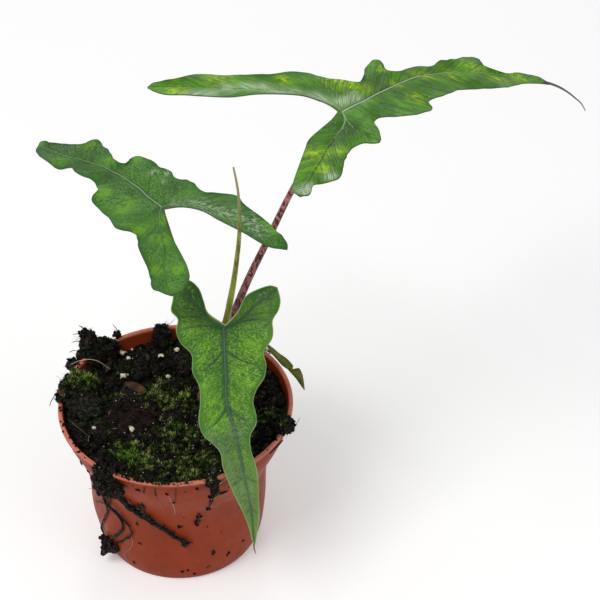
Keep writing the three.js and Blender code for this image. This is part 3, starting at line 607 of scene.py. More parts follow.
def half_blade(leaf, half, phase):
    """The three flat strips of half a blade."""
    midrib, rib, margin, inner, share = lines_of(leaf, half)

    def between(a, b, t):
        reach = np.linalg.norm(b - a, axis=1)
        return a + (b - a) * t[:, None], reach

    def wave(run, t):
        return leaf["wave"] * t * t * np.sin(2 * math.pi * leaf["ripples"] * run + phase)

    def front(s, t):
        run = share + (1 - share) * s
        flat, reach = between(along(midrib, s ** FORWARD), along(margin, run), t)
        lift = leaf["keel"] * reach * t + wave(run, t) * np.minimum(1, 4 * (1 - s))
        origin = s * midrib[1][-1] - VEINLET_SLANT * reach * t
        return flat, lift, np.column_stack([origin, reach * t])

    def lobe(s, t):
        back = 1 - (1 - s) ** FORWARD
        flat, reach = between(along(rib, back), along(margin, share * s), t)
        lift = leaf["keel"] * reach * t + wave(share * s, t) * np.minimum(1, 4 * s)
        origin = (s - 1) * rib[1][-1] + VEINLET_SLANT * reach * t
        return flat, lift, np.column_stack([origin, reach * t])

    def notch(s, t):
        back = 1 - (1 - s) ** FORWARD
        flat, reach = between(along(rib, back), along(inner, s), t)
        origin = (s - 1) * rib[1][-1] + VEINLET_SLANT * reach * t
        return flat, leaf["keel"] * reach * t, np.column_stack([origin, -reach * t])

    front_steps = round(midrib[1][-1] / STEP)
    lobe_steps = round(rib[1][-1] / STEP)
    return [strip(front_steps, ACROSS, front), strip(lobe_steps, ACROSS, lobe),
            strip(lobe_steps, ACROSS // 2, notch)]


# %% Distances to the veins
def vein_lines(name, leaf):
    """Every side vein of a leaf as a bowed line of points, with its strength."""
    lines = []
    for half in (leaf["left"], leaf["right"]):
        midrib, rib, margin, inner, share = lines_of(leaf, half)
        runs = [(along(midrib, np.array([a])), along(margin, np.array([share + (1 - share) * b])), strength)
                for a, b, strength in [(0, 0, 1)] + VEINS[name]]
        runs += [(along(rib, np.array([1 - a])), along(margin, np.array([share * (1 - b)])), strength)
                 for a, b, strength in LOBE_VEINS]
        runs += [(along(rib, np.array([1 - a])), along(inner, np.array([1 - b])), strength)
                 for a, b, strength in NOTCH_VEINS]
        for start, end, strength in runs:
            t = np.linspace(0, 1, 9)[:, None]
            chord = end - start
            bow = np.column_stack([chord[:, 1], -chord[:, 0]]) * np.sign(chord[0, 0] * chord[0, 1] or 1)
            lines.append((start + chord * t + 0.09 * bow * np.sin(math.pi * t), strength))
    return lines


def distance_to(flat, line):
    """Signed distance from each flat corner to a line of points, positive on its left."""
    best = np.full(len(flat), 1e9)
    side = np.ones(len(flat))
    for a, b in zip(line[:-1], line[1:]):
        chord = b - a
        share = np.clip(((flat - a) @ chord) / (chord @ chord), 0, 1)
        gap = flat - a - share[:, None] * chord
        distance = np.hypot(gap[:, 0], gap[:, 1])
        nearer = distance < best
        turn = chord[0] * (flat[:, 1] - a[1]) - chord[1] * (flat[:, 0] - a[0])
        best = np.where(nearer, distance, best)
        side = np.where(nearer, np.sign(turn) + (turn == 0), side)
    return best * side


def measure_veins(piece, name, leaf):
    """Marks each flat corner with its distance from the ribs, the nearest side vein and the margin."""
    flat = points_of(piece)[:, :2]
    ribs, edge = [smooth_line(leaf["midrib"], 6)[0]], []
    for half in (leaf["left"], leaf["right"]):
        ribs.append(smooth_line(half["rib"], 6)[0])
        edge += [smooth_line(half["margin"])[0], smooth_line(half["inner"] + [leaf["sinus"]])[0]]
    middle, *lobes = [distance_to(flat, line) for line in ribs]
    lobe = np.min(np.abs(lobes), axis=0)
    rib = np.minimum(np.abs(middle), lobe)
    taper = np.clip(1.1 - np.abs(flat[:, 0]) / (1.1 * leaf["midrib"][-1][0]), 0.35, 1)
    side = np.full(len(flat), 50.0)
    strength = np.zeros(len(flat))
    for line, power in vein_lines(name, leaf):
        distance = distance_to(flat, line)
        nearer = np.abs(distance) < np.abs(side)
        side = np.where(nearer, distance, side)
        strength = np.where(nearer, power, strength)
    edge = np.vstack(edge)
    tree = KDTree(len(edge))
    for i, (x, y) in enumerate(edge):
        tree.insert((x, y, 0), i)
    tree.balance()
    margin = np.array([tree.find((x, y, 0))[2] for x, y in flat])
    # Patches of painted glow, painted glints and painted shade, each a sum of soft spots
    glow, shine, shade = [sum(np.exp(-((flat[:, 0] - u) ** 2 + (flat[:, 1] - v) ** 2) / r ** 2)
                              for u, v, r in spots[name]) for spots in (GLOW, SHINE, SHADE)]
    joint = np.hypot(flat[:, 0], flat[:, 1])
    marks = dict(rib=rib, middle=middle / taper, lobe=lobe / taper, side_vein=side, strength=strength,
                 margin=margin, glow=glow, shine=shine, shade=shade, joint=joint, forward=flat[:, 0])
    for key, values in marks.items():
        mark(piece, key, values)
    print(name, "corners", len(flat), "widest", round(float(np.ptp(flat[:, 1])), 1))


# %% Lift a flat blade to its place
BLADE = 0.5  # thickness between the ribs
RIB_DEPTH = 1.7  # thickness at the joint, ribs included


def leaf_axes(leaf):
    face = np.array(leaf["face"], float)
    face /= np.linalg.norm(face)
    turn = math.radians(leaf["heading"])
    heading = np.array([math.cos(turn), math.sin(turn), 0])
    forward = heading - heading @ face * face
    forward /= np.linalg.norm(forward)
    return forward, np.cross(face, forward), face


def relief(piece):
    """Side veins lie in soft furrows, the blade swells between them, and the ribs are ridges in a groove."""
    rib, side = marks_of(piece, "rib"), marks_of(piece, "side_vein")
    strength, margin = marks_of(piece, "strength"), marks_of(piece, "margin")
    furrow = -0.3 * strength * np.exp(-((side / 1.3) ** 2)) * np.clip(margin / 3, 0, 1)
    groove = -0.35 * np.exp(-((rib / 1.8) ** 2)) + 0.3 * np.exp(-((rib / 0.5) ** 2))
    return furrow + groove


def raised(piece, leaf):
    flat = points_of(piece)
    u, v = flat[:, 0], flat[:, 1]
    forward, left, face = leaf_axes(leaf)
    fall = leaf["droop"] * np.maximum(u, 0) ** 2 + leaf["lobe_droop"] * np.maximum(-u, 0) ** 2
    height = marks_of(piece, "lift") - fall + relief(piece)
    flat_place = np.outer(u, forward) + np.outer(v, left)
    set_points(piece, np.array(leaf["at"]) + flat_place + np.outer(height, face))


def thickened(piece):
    """Gives a blade its thickness downwards, more where a rib runs underneath."""
    rib, forward = marks_of(piece, "rib"), marks_of(piece, "forward")
    taper = np.clip(1 - np.abs(forward) / 130, 0.15, 1)
    full = BLADE + (RIB_DEPTH - BLADE) * taper * np.exp(-((rib / 0.9) ** 2))
    weights = piece.vertex_groups.new(name="thickness")
    for i, value in enumerate(full / RIB_DEPTH):
        weights.add([i], float(value), "REPLACE")
    solid = piece.modifiers.new("thickness", "SOLIDIFY")
    solid.thickness = RIB_DEPTH * MM
    solid.offset = -1
    solid.vertex_group = "thickness"
    solid.material_offset = 1
    solid.material_offset_rim = 2
    bpy.context.view_layer.objects.active = piece
    bpy.ops.object.modifier_apply(modifier=solid.name)
    piece.vertex_groups.clear()


# %% [markdown]
# ## The finish of a leaf
#
# The upper side is a satin, slightly waxy green. One noise would give it patches, but not the order that a
# leaf has, so each coat follows something that was measured on the blade: its patches, its veins or its
# margin. The first coats are two greens in soft patches, a painted glow of yellow-green where light comes
# through, painted shade where the blade dips or lies in another leaf's shadow, and duller towards the tip of
# the front leaf.

# %% Greens, glow and shade
def lay_greens(made, look):
    made.ground(made.ramp(made.noise(70, 3), 0.35, 0.68), look["deep"], look["green"])
    # Painted glow: yellow-green where light would come through the blade
    glow = made.sum("MULTIPLY", made.mark("glow"), made.ramp(made.noise(320, 3), 0.32, 0.6, 0.15, 1.0))
    made.coat(made.sum("MINIMUM", glow, look["glow_most"]), look["glow"])
    # Painted shade: dark where the blade dips and where another leaf shadows it
    painted_shade = made.sum("MINIMUM", made.mark("shade"), 1.0)
    made.coat(made.sum("MULTIPLY", painted_shade, look["shade_most"]), (34, 68, 30))
    made.coat(made.ramp(made.mark("forward"), *look["plain"], 0.0, 0.5), (124, 148, 84))


# %% [markdown]
# Between the side veins the skin is divided into small fields. Each field swells a little, and the light that
# it catches is painted on it as a pale dash, a painted highlight, while dark veinlets run between them.
# Fields and veinlets are drawn on the blade's own map, whose first direction runs along the rib and whose
# second runs out along a veinlet, so they fan out as the real ones do.

# %% Fields and veinlets
def lay_fields(made, look, blade_map):
    """Pale dashes painted as highlights on the swollen fields, each by its own amount, in a dark net; gives
    back the dashes.
    """
    fields = made.cells(1000, made.mapped(blade_map, look["field_size"]), 0.9)
    # The dashes are painted highlights where each swollen field catches the light
    dash = made.ramp(fields, 0.25, 0.68, 1.0, 0.0)
    own = made.ramp(fields.node.outputs["Color"], 0.2, 0.65, 0.3, 1.0)
    inside = made.ramp(made.mark("margin"), 0.5, 3.0)
    spread = made.ramp(made.noise(45, 2), 0.35, 0.62, 0.45, 1.0)
    share = made.sum("MULTIPLY", made.sum("MULTIPLY", dash, own), made.sum("MULTIPLY", inside, spread))
    fewer = made.ramp(made.mark("forward"), *look["plain"], look["dashes"], 0.25 * look["dashes"])
    made.coat(made.sum("MULTIPLY", share, fewer), look["dash"])
    net = made.ramp(fields, 0.5, 0.8, 0.0, look["net"])
    made.coat(made.sum("MULTIPLY", net, inside), look["stripe"])
    return dash


def lay_stripes(made, look, blade_map):
    """Thin dark stripes along the veinlets; gives back the noise they are cut from."""
    stripes = made.noise(1000, 2, made.mapped(blade_map, look["stripe_size"]))
    made.coat(made.ramp(stripes, 0.44, 0.6, 0.0, look["stripes"]), look["stripe"])
    return stripes


# %% [markdown]
# Veins lie in darker, bluish bands, which fade towards the margin. A little noise is added to the
# distances, so no band has a ruled edge. On top of a band runs the vein's own pale line, thin as a thread.
# The upper leaf's midrib has a painted shadow beside it, a dark line where its ridge stands before the light.

# %% Bands and lines of the veins
def lay_bands(made, look, waver, side):
    vein_band = made.sum("MULTIPLY", made.ramp(side, 0.1, look["band"], 1.0, 0.0), made.mark("strength"))
    vein_band = made.sum("MULTIPLY", vein_band, made.ramp(made.mark("out"), 0.5, 0.95, 1.0, 0.1))
    middle = made.sum("ADD", made.size_of(made.mark("middle")), waver)
    middle_band = made.ramp(middle, 0.4, look["rib_band"], 1.0, 0.0)
    lobe_band = made.ramp(made.sum("ADD", made.mark("lobe"), waver), 0.2, look["lobe_band"], 1.0, 0.0)
    lobe_band = made.sum("MULTIPLY", lobe_band, made.ramp(made.mark("forward"), -60, 0, 0.3, 1.0))
    band = made.sum("MAXIMUM", made.sum("MAXIMUM", vein_band, middle_band), lobe_band)
    made.coat(made.sum("MULTIPLY", band, look["band_most"]), look["band_colour"])


def lay_lines(made, look, waver, side):
    joint, signed, lobe = made.mark("joint"), made.mark("middle"), made.mark("lobe")
    groove = made.ramp(made.sum("ADD", lobe, waver), 0.05, 0.42, look["groove"], 0.0)
    made.coat(made.sum("MULTIPLY", groove, made.ramp(joint, 10, 30)), (24, 56, 22))
    middle_line = made.ramp(made.size_of(signed), 0.12, look["line"], look["line_most"], 0.0)
    lobe_fade = made.ramp(joint, 6, 34, look["lobe_line"], 0.0)
    lobe_line = made.sum("MULTIPLY", made.ramp(lobe, 0.1, 0.4, 1.0, 0.0), lobe_fade)
    vein_fade = made.ramp(joint, 6, 26, look["vein_line"], 0.15 * look["vein_line"])
    vein_line = made.sum("MULTIPLY", made.ramp(side, 0.05, 0.32, 1.0, 0.0), made.mark("strength"))
    vein_line = made.sum("MULTIPLY", vein_line, vein_fade)
    line = made.sum("MAXIMUM", middle_line, made.sum("MAXIMUM", vein_line, lobe_line))
    made.coat(line, look["line_colour"])
    # A dark line beside the midrib: the painted shadow of its ridge
    painted_ridge_shadow = made.size_of(made.sum("SUBTRACT", signed, look["dark_at"]))
    made.coat(made.ramp(painted_ridge_shadow, 0.1, 0.34, look["dark_most"], 0.0), (26, 54, 26))


# %% [markdown]
# Where the blade is crinkled, painted glints stand for the lamp behind the plant mirrored on every small
# ridge, and painted shade darkens its creases. The margin has a thin rim of its own colour. By the joint,
# where the notch ends, the bare rib shows.

# %% Shine and rim
def lay_shine(made, look, blade_map):
    """Painted glints and painted shade in the creases; gives back where it shines and the noise of the
    crinkles.
    """
    shine = made.sum("MINIMUM", made.mark("shine"), 1.0)
    crinkle = made.noise(1000, 3, made.mapped(blade_map, look["crinkle_size"]), 0.55, look["twist"])
    # Pale glints: a painted reflection of the lamp behind
    glint = made.ramp(crinkle, 0.48, 0.58, look["sheen"], look["glint"])
    made.coat(made.sum("MULTIPLY", shine, glint), look["glint_colour"])
    # Dark creases: painted shade
    painted_crease_shade = made.ramp(crinkle, 0.38, 0.46, look["painted_crease_shade"], 0.0)
    made.coat(made.sum("MULTIPLY", shine, painted_crease_shade), (34, 66, 28))
    return shine, crinkle


def lay_rim(made, look):
    margin = made.mark("margin")
    made.coat(made.ramp(margin, 0.2, 0.6, look["rim_most"], 0.0), look["rim_colour"])
    by_joint = made.ramp(made.mark("joint"), 5, 17, 0.85, 0.0)
    made.coat(made.sum("MULTIPLY", made.ramp(margin, 0.3, 0.8, 1.0, 0.0), by_joint), look["bare"])


# %% [markdown]
# The whole finish lays these coats in order, and ends with a fine relief: the fields and stripes stand a
# little proud, and the crinkles more so where it shines. The underside is paler and duller, with the ribs'
# own brown.

# %% Leaf finishes
def leaf_finish(name, look):
    """The upper side of a blade."""
    made = Finish(name, look["roughness"], look["gloss"])
    blade_map = made.node("ShaderNodeUVMap", {}, uv_map="UVMap")
    waver = made.ramp(made.noise(500, 2), 0.3, 0.7, -0.25, 0.25)
    side = made.sum("ADD", made.size_of(made.mark("side_vein")), waver)
    lay_greens(made, look)
    dash = lay_fields(made, look, blade_map)
    stripes = lay_stripes(made, look, blade_map)
    lay_bands(made, look, waver, side)
    shine, crinkle = lay_shine(made, look, blade_map)
    lay_lines(made, look, waver, side)
    lay_rim(made, look)
    height = made.sum("ADD", made.sum("MULTIPLY", dash, 0.6), made.sum("MULTIPLY", stripes, 0.9))
    crinkled = made.sum("MULTIPLY", crinkle, made.ramp(shine, 0, 1, 0.6, 2.0))
    made.give("Normal", made.bump(made.sum("ADD", height, crinkled), look["bump"], 0.9))
    smoothest, dullest = look["roughness"] - 0.05, look["roughness"] + 0.1
    satin = made.ramp(made.noise(260, 3), 0.3, 0.7, smoothest, dullest)
    made.give("Roughness", made.sum("SUBTRACT", satin, made.sum("MULTIPLY", shine, 0.1)))
    return made.material


def underside_finish():
    made = Finish("leaf_underside", 0.55, 0.3)
    made.ground(made.ramp(made.noise(90, 3), 0.35, 0.65), (96, 132, 74), (112, 146, 86))
    made.coat(made.ramp(made.mark("rib"), 0.4, 1.5, 0.8, 0.0), (138, 124, 92))
    side = made.ramp(made.size_of(made.mark("side_vein")), 0.15, 0.6, 0.6, 0.0)
    made.coat(made.sum("MULTIPLY", side, made.mark("strength")), (142, 168, 110))
    made.give("Normal", made.bump(made.noise(900, 3), 0.12, 0.6))
    return made.material


def two_tone_finish(name, per_metre, dark, light):
    """A skin with nothing but a soft change between two tones."""
    made = Finish(name, 0.5, 0.3)
    made.ground(made.noise(per_metre, 2), dark, light)
    return made.material


# %% [markdown]
# Each leaf has its own look. What the three share stands first. The upper leaf is bright, with a painted glow
# as if light came through it, and its stripes show. The left one is darker and has painted glints on its
# ripples. The front one hangs towards the camera, so its bands and its net show best. A size stretches the
# blade's map along the rib and along the veinlets. From the first distance of plain to the second the dashes
# fade.

# %% Looks of the three leaves
COMMON_LOOK = dict(
    gloss=0.14, bump=0.16, glow_most=0.85, shade_most=0.6, plain=(900, 990),
    field_size=(1.05, 0.72, 1), net=0.25, stripe_size=(0.62, 0.05, 1),
    lobe_band=0.8, groove=0.0, line=0.4, line_most=0.7, vein_line=0.7, lobe_line=0.3,
    dark_at=0.0, dark_most=0.0,
    crinkle_size=(1.0, 0.6, 1), twist=1.2, sheen=0.12, painted_crease_shade=0.4, glint=0.5, glint_colour=(164, 190, 152),
    rim_colour=(40, 72, 34), rim_most=0.5, bare=(112, 78, 62), edge=((38, 66, 32), (66, 100, 48)))
LOOKS = {
    "leaf_upper": dict(
        COMMON_LOOK, roughness=0.34, deep=(62, 120, 14), green=(98, 166, 20), glow=(174, 218, 8),
        dash=(120, 172, 48), dashes=0.2, net=0.0,
        stripe=(34, 78, 18), stripes=0.6, stripe_size=(0.9, 0.07, 1),
        band=0.8, rib_band=1.9, band_most=0.55, band_colour=(36, 74, 34), groove=0.62,
        line=0.75, line_most=0.9, line_colour=(180, 204, 164), lobe_line=0.75, dark_at=0.85, dark_most=0.75,
        crinkle_size=(1.25, 0.1, 1), twist=0.3, sheen=0.42, glint=0.95, glint_colour=(196, 218, 182)),
    "leaf_left": dict(
        COMMON_LOOK, roughness=0.38, deep=(50, 102, 36), green=(74, 128, 44), glow=(126, 188, 26),
        glow_most=0.6, shade_most=0.75, dash=(136, 184, 88), dashes=0.8, field_size=(1.9, 1.3, 1), net=0.26,
        stripe=(38, 78, 32), stripes=0.15, band=0.75, rib_band=1.6, band_most=0.62, band_colour=(36, 70, 38),
        line=0.55, line_most=0.85, line_colour=(148, 178, 134), vein_line=0.3, lobe_line=0.5,
        crinkle_size=(0.5, 0.42, 1), sheen=0.08, glint=0.78, glint_colour=(172, 194, 160)),
    "leaf_front": dict(
        COMMON_LOOK, roughness=0.42, deep=(60, 106, 38), green=(84, 132, 44), glow=(108, 164, 32),
        shade_most=0.8, plain=(46, 84), dash=(156, 198, 94), dashes=0.72, field_size=(1.45, 1.0, 1), net=0.35,
        stripe=(50, 90, 36), stripes=0.2, band=0.85, rib_band=2.6, lobe_band=1.5, band_most=0.82,
        band_colour=(48, 80, 56), line=0.42, line_most=0.8, line_colour=(92, 116, 98), vein_line=0.0,
        lobe_line=0.0, glint=0.3, glint_colour=(140, 160, 128), rim_colour=(144, 168, 108), rim_most=0.6,
        bare=(180, 166, 128), edge=((128, 150, 96), (170, 186, 134))),
}
leaf_under = underside_finish()
print("looks", {name: len(look) for name, look in LOOKS.items()})

# %% [markdown]
# A blade may end in a drip tip, a thread that water runs off. It is long and purplish on the upper leaf and
# short on the front one. The blade's grid is too coarse for it, so it is a tube of its own, joined to the
# blade.

# %% Drip tips
DRIP_TIPS = {
    "leaf_upper": dict(
        route=[(188, 95.5, 222), (192, 97, 220), (197, 99, 216.5), (202, 101, 212), (206.5, 102, 207.5),
               (209.5, 102, 204.5), (211.8, 101, 200.8)],
        radius=0.75, dark=(82, 66, 76), light=(124, 110, 112)),
    "leaf_front": dict(
        route=[(41.1, -73.4, 61.6), (41.3, -74.3, 59.4), (41.7, -74.5, 57.2), (42, -74.5, 55.6)],
        radius=0.5, dark=(72, 84, 44), light=(96, 92, 66)),
}


def drip_tip(route, radius, dark, light):
    """A thread that thins to a third of its radius."""
    tip = rolled(route, lambda s, turn: radius * (1 - 0.67 * s), 0.6, 10)
    tip.data.materials.append(two_tone_finish("drip_tip_skin", 400, dark, light))
    smooth(tip, 60)
    return tip


# %% Build the three leaves
for leaf_name, leaf in LEAVES.items():
    strips = half_blade(leaf, leaf["left"], 0) + half_blade(leaf, leaf["right"], 2)
    blade = joined(strips)
    edit(blade, merge(0.03), face_outwards)
    measure_veins(blade, leaf_name, leaf)
    raised(blade, leaf)
    up = Vector(leaf_axes(leaf)[2])
    if sum(face.normal.dot(up) for face in blade.data.polygons) < 0:
        edit(blade, bpy.ops.mesh.flip_normals)
    blade.data.materials.clear()
    look = LOOKS[leaf_name]
    edge_finish = two_tone_finish(leaf_name + "_edge", 300, *look["edge"])
    for finish in (leaf_finish(leaf_name + "_face", look), leaf_under, edge_finish):
        blade.data.materials.append(finish)
    thickened(blade)
    smooth(blade, 50)
    if leaf_name in DRIP_TIPS:
        blade = joined([blade, drip_tip(**DRIP_TIPS[leaf_name])])
    seat(blade, "blade_" + leaf_name.split("_")[1], None, "leaf", leaf_name)

# %% [markdown]
# ## Stalks and the new leaf
#
# A stalk is round and slim, widens into a clasping foot at the crown and bends over into the joint of its
# blade. The upper stalk is pinkish brown with dark mottling, the rolled new leaf is olive with pale dots,
# and its overlapping edge winds round it as a low step.

# %% Stalk finishes
def mottled_finish(name, ground, light, blotch, amount):
    """A stalk's skin: two soft tones with dark blotches, darker towards the foot."""
    made = Finish(name, 0.38, 0.3)
    made.ground(made.ramp(made.noise(220, 3), 0.3, 0.7), ground, light)
    made.coat(made.ramp(made.mark("along"), 30, 125, 0.62, 0.0), blotch)
    spots = made.noise(720, 3, made.mapped(made.places, (1, 1, 0.42)), 0.6, 0.6)
    made.coat(made.ramp(spots, 0.465, 0.54, 0.0, amount), blotch)
    made.give("Normal", made.bump(made.noise(1500, 3), 0.1, 0.5))
    return made.material


def spear_finish():
    """Olive, with brown streaks higher up, a pale tip and fine pale dots."""
    made = Finish("new_leaf_skin", 0.42, 0.3)
    tone = made.noise(180, 3, made.mapped(made.places, (1, 1, 0.2)))
    made.ground(made.ramp(tone, 0.3, 0.7), (108, 122, 22), (142, 154, 42))
    streaks = made.ramp(made.noise(900, 2, made.mapped(made.places, (1, 1, 0.05))), 0.42, 0.56)
    made.coat(made.sum("MULTIPLY", made.ramp(made.mark("along"), 88, 120), streaks), (88, 82, 26))
    made.coat(made.ramp(made.mark("along"), 135, 172), (148, 142, 88))
    dots = made.ramp(made.cells(900), 0.1, 0.24, 0.8, 0.0)
    few = made.ramp(made.noise(300, 1), 0.45, 0.55)
    made.coat(made.sum("MULTIPLY", dots, few), (214, 214, 160))
    made.give("Normal", made.bump(made.noise(1200, 3), 0.08, 0.5))
    return made.material


# %% Stalks
PETIOLES = {
    "petiole_upper": dict(
        route=[(20, 12, 79), (20.5, 12, 90), (22, 12, 106), (25.5, 12, 122), (30.5, 12, 138), (39, 14, 161),
               (48, 16, 182), (60.5, 18, 212), (73, 19, 235), (84, 20, 255.2)],
        foot=2.7, top=1.15),
    "petiole_left": dict(
        route=[(14, 13, 79), (14, 13, 98), (11.5, 13, 117), (9.5, 13, 134), (8, 14, 156), (4, 14, 173),
               (1, 14, 185), (-3, 15, 203.2)],
        foot=2.3, top=1.1),
    "petiole_front": dict(
        route=[(19, 5.5, 79), (19, 5, 88), (20, 2, 104), (22, -5, 124), (25, -13, 142), (27, -19.4, 155.4)],
        foot=2.3, top=1.2),
}
skins = {
    "petiole_upper": mottled_finish("upper_stalk_skin", (136, 72, 70), (196, 124, 120), (44, 17, 20), 0.94),
    "petiole_left": mottled_finish("left_stalk_skin", (96, 84, 50), (122, 104, 66), (58, 40, 28), 0.6),
    "petiole_front": mottled_finish("front_stalk_skin", (96, 84, 50), (122, 104, 66), (58, 40, 28), 0.6),
}
for stalk_name, plan in PETIOLES.items():
    def stalk_radius(s, turn, plan=plan):
        base = plan["foot"] + (plan["top"] - plan["foot"]) * s ** 0.8
        clasp = 0.7 * np.exp(-((s / 0.09) ** 2))
        joint = 0.35 * np.exp(-(((1 - s) / 0.02) ** 2))
        return (base + clasp + joint) * (1 + 0.03 * np.cos(2 * turn + 1))

    stalk = rolled(plan["route"], stalk_radius)
    smooth(stalk, 60)
    seat(stalk, "stalk_" + stalk_name.split("_")[1], skins[stalk_name], "petiole", stalk_name)

# %% Rolled new leaf
SPEAR = dict(
    route=[(14.5, 7.5, 79), (15.5, 7, 92), (20, 3, 117), (26, -3, 141), (30.3, -7, 164.5), (33.6, -12, 189.5),
           (35.8, -17, 214.5), (35.9, -20, 234.5), (35.3, -21, 244), (34, -22, 254)],
    foot=2.3, top=0.42)


def spear_radius(s, turn):
    base = SPEAR["foot"] + (SPEAR["top"] - SPEAR["foot"]) * s ** 1.3
    overlap = (turn / (2 * math.pi) - 2.2 * s) % 1
    return base * (0.94 + 0.1 * overlap)


spear = rolled(SPEAR["route"], spear_radius, 0.7, 24)
smooth(spear, 60)
seat(spear, "rolled_new_leaf", spear_finish(), "new_growth", "new_leaf_spear")

# %% [markdown]
# ## The small folded leaf
#
# Low on the right a small leaf hangs over the rim, still folded along its midrib. Its stalk is a rolled
# grid again. The blade is one more grid, stretched between its two edges: the back edge is one long curve,
# and the front edge has the notch where the lobes end and the front half begins. Its middle is pushed out
# into a fold.

# %% Small folded leaf
SMALL_STALK = [(25, 7.5, 79), (26, 9, 88), (31, 15, 97), (39, 24, 101.2), (47.2, 30.6, 99.2)]
BACK_EDGE = [(46.2, 29.8, 98.2), (49.1, 31, 94.7), (52.4, 32.5, 88.6), (54.6, 33, 84.7), (57.9, 33, 81.5),
             (59.6, 33, 79), (61.7, 33, 75.9), (63.7, 33, 72), (65, 33, 69.6), (66.3, 33, 67.3)]
FRONT_EDGE = [(47.2, 31, 101.2), (50.4, 32.5, 96.4), (53.4, 34, 91.9), (56.4, 34.5, 88.6), (58.4, 34.5, 86.2),
              (60.1, 34.5, 83.4), (59.8, 34, 80.9), (61.7, 34, 81.3), (63.5, 34, 81.8), (64.5, 34, 79.4),
              (65.3, 34, 76.7), (65.8, 33.5, 72.6), (66.3, 33, 67.3)]
small_stalk = rolled(SMALL_STALK, lambda s, turn: 1.8 - 0.6 * s ** 0.8, 0.8, 14)


def folded_blade(steps=110, across=14):
    """A grid between the two edges, with a fold between them and a slight ripple."""
    deselect()
    bpy.ops.mesh.primitive_grid_add(x_subdivisions=steps, y_subdivisions=across, size=1)
    piece = bpy.context.object
    corners = points_of(piece) * MM
    s, v = np.clip(corners[:, 0] + 0.5, 0, 1), corners[:, 1] + 0.5
    axis = np.array(BACK_EDGE[-1]) - BACK_EDGE[0]

    def edge_at(edge):
        """Where an edge is when it has come as far along the leaf as each corner."""
        shares = np.clip((edge - BACK_EDGE[0]) @ axis / (axis @ axis), 0, 1)
        return np.stack([np.interp(s, shares, column) for column in edge.T], -1)

    back, front = edge_at(np.array(BACK_EDGE)), edge_at(np.array(FRONT_EDGE))
    fold = 1.1 * (1 - np.abs(2 * v - 1)) ** 0.8 * np.clip(6 * (1 - s), 0, 1)
    ripple = 0.25 * np.sin(20 * s + 3 * v)
    places = back + (front - back) * v[:, None] + np.outer(fold + ripple, (0.15, -0.95, 0.2))
    set_points(piece, places)
    mark(piece, "across", v)
    mark(piece, "along", s)
    solid = piece.modifiers.new("thickness", "SOLIDIFY")
    solid.thickness = 0.6 * MM
    solid.offset = 0
    bpy.ops.object.modifier_apply(modifier=solid.name)
    return piece


folded = folded_blade()
small_leaf = joined([small_stalk, folded])
edit(small_leaf, face_outwards)
smooth(small_leaf, 50)
olive = Finish("olive_skin", 0.42, 0.22)
olive.ground(olive.ramp(olive.noise(200, 3), 0.3, 0.7), (70, 82, 10), (104, 116, 16))
olive.coat(olive.ramp(olive.noise(90, 2), 0.55, 0.7), (124, 134, 38))
slanting = olive.mapped(olive.places, (1, 1, 0.3), (0, 0.5, 0))
olive.coat(olive.ramp(olive.noise(900, 2, slanting), 0.45, 0.6, 0, 0.5), (60, 70, 10))
olive.coat(olive.ramp(olive.mark("across"), 0.72, 0.95, 0.0, 0.6), (104, 84, 58))
olive.give("Normal", olive.bump(olive.noise(800, 3), 0.12, 0.6))
seat(small_leaf, "folded_leaf", olive.material, "new_growth", "small_folded_leaf")

# %% [markdown]
# ## The pot
#
# The pot is thin injection-moulded plastic. By hand it would be turned: a circle is added at the foot, and
# ring after ring is extruded from it and scaled, up the wall, over the rolled rim, down the inside and
# across the floor. The wall is then dented a little, as such pots are once they have been squeezed out of a
# tray, and the drain holes are cut with a Boolean modifier.

# %% Pot profile
POT_SIDES = 160
POT_WALL = 1.2
WALL = [(40.5, 0), (42, 1.5), (44, 10), (45.5, 25), (46.5, 40), (49, 55), (52, 64), (55.2, 72), (58, 80),
        (59.3, 87)]
RIM = [(59.5, 87.3), (60.3, 87.5), (60.5, 88.2), (60.45, 89.1), (60.1, 89.7), (59.5, 89.95), (58.9, 89.9),
       (58.45, 89.6), (58.2, 89)]
DRAIN = dict(count=8, radius=3, circle=23)
POT_DENTS = [  # angle, height, their two spreads and how far out
    (195, 26, 32, 16, 1.6), (350, 54, 38, 15, -1.3), (188, 72, 36, 8, -1.1), (262, 30, 18, 20, -0.6),
]


def pot_radius(z):
    return np.interp(z, [p[1] for p in WALL], [p[0] for p in WALL])


def dent(angle, z):
    """How far the dents move the wall outwards, at an angle in degrees and a height."""
    total = 0
    for at, height, spread, tall, out in POT_DENTS:
        turn = (np.asarray(angle) - at + 540) % 360 - 180
        total = total + out * np.exp(-((turn / spread) ** 2) - ((z - height) / tall) ** 2)
    return total


def on_wall(angle, z, away=0.0):
    """A place on the dented wall, a distance outside it."""
    r = pot_radius(z) + dent(angle, z) + away
    return np.column_stack([r * np.cos(np.radians(angle)), r * np.sin(np.radians(angle)), z + 0 * r])


def even_steps(points, most):
    """The same outline with no step longer than most."""
    runs = [points[0]]
    for (r0, z0), (r1, z1) in zip(points, points[1:]):
        count = max(1, math.ceil(math.hypot(r1 - r0, z1 - z0) / most))
        runs += [(r0 + (r1 - r0) * k / count, z0 + (z1 - z0) * k / count) for k in range(1, count + 1)]
    return runs


outside = even_steps([tuple(p) for p in smooth_line(WALL, 4)[0]], 3)
inside = [(r - POT_WALL, z - 0.5) for r, z in reversed(outside) if z > 8]
underneath = [(11, 0), (13, 1.8), (33, 1.8), (35.5, 0)]
floor_inside = [(41, 3), (40, 1.4), (36.4, 1.4), (34, 3.2), (12.2, 3.2), (10.2, 1.4)]
profile = underneath + outside + RIM + inside + floor_inside

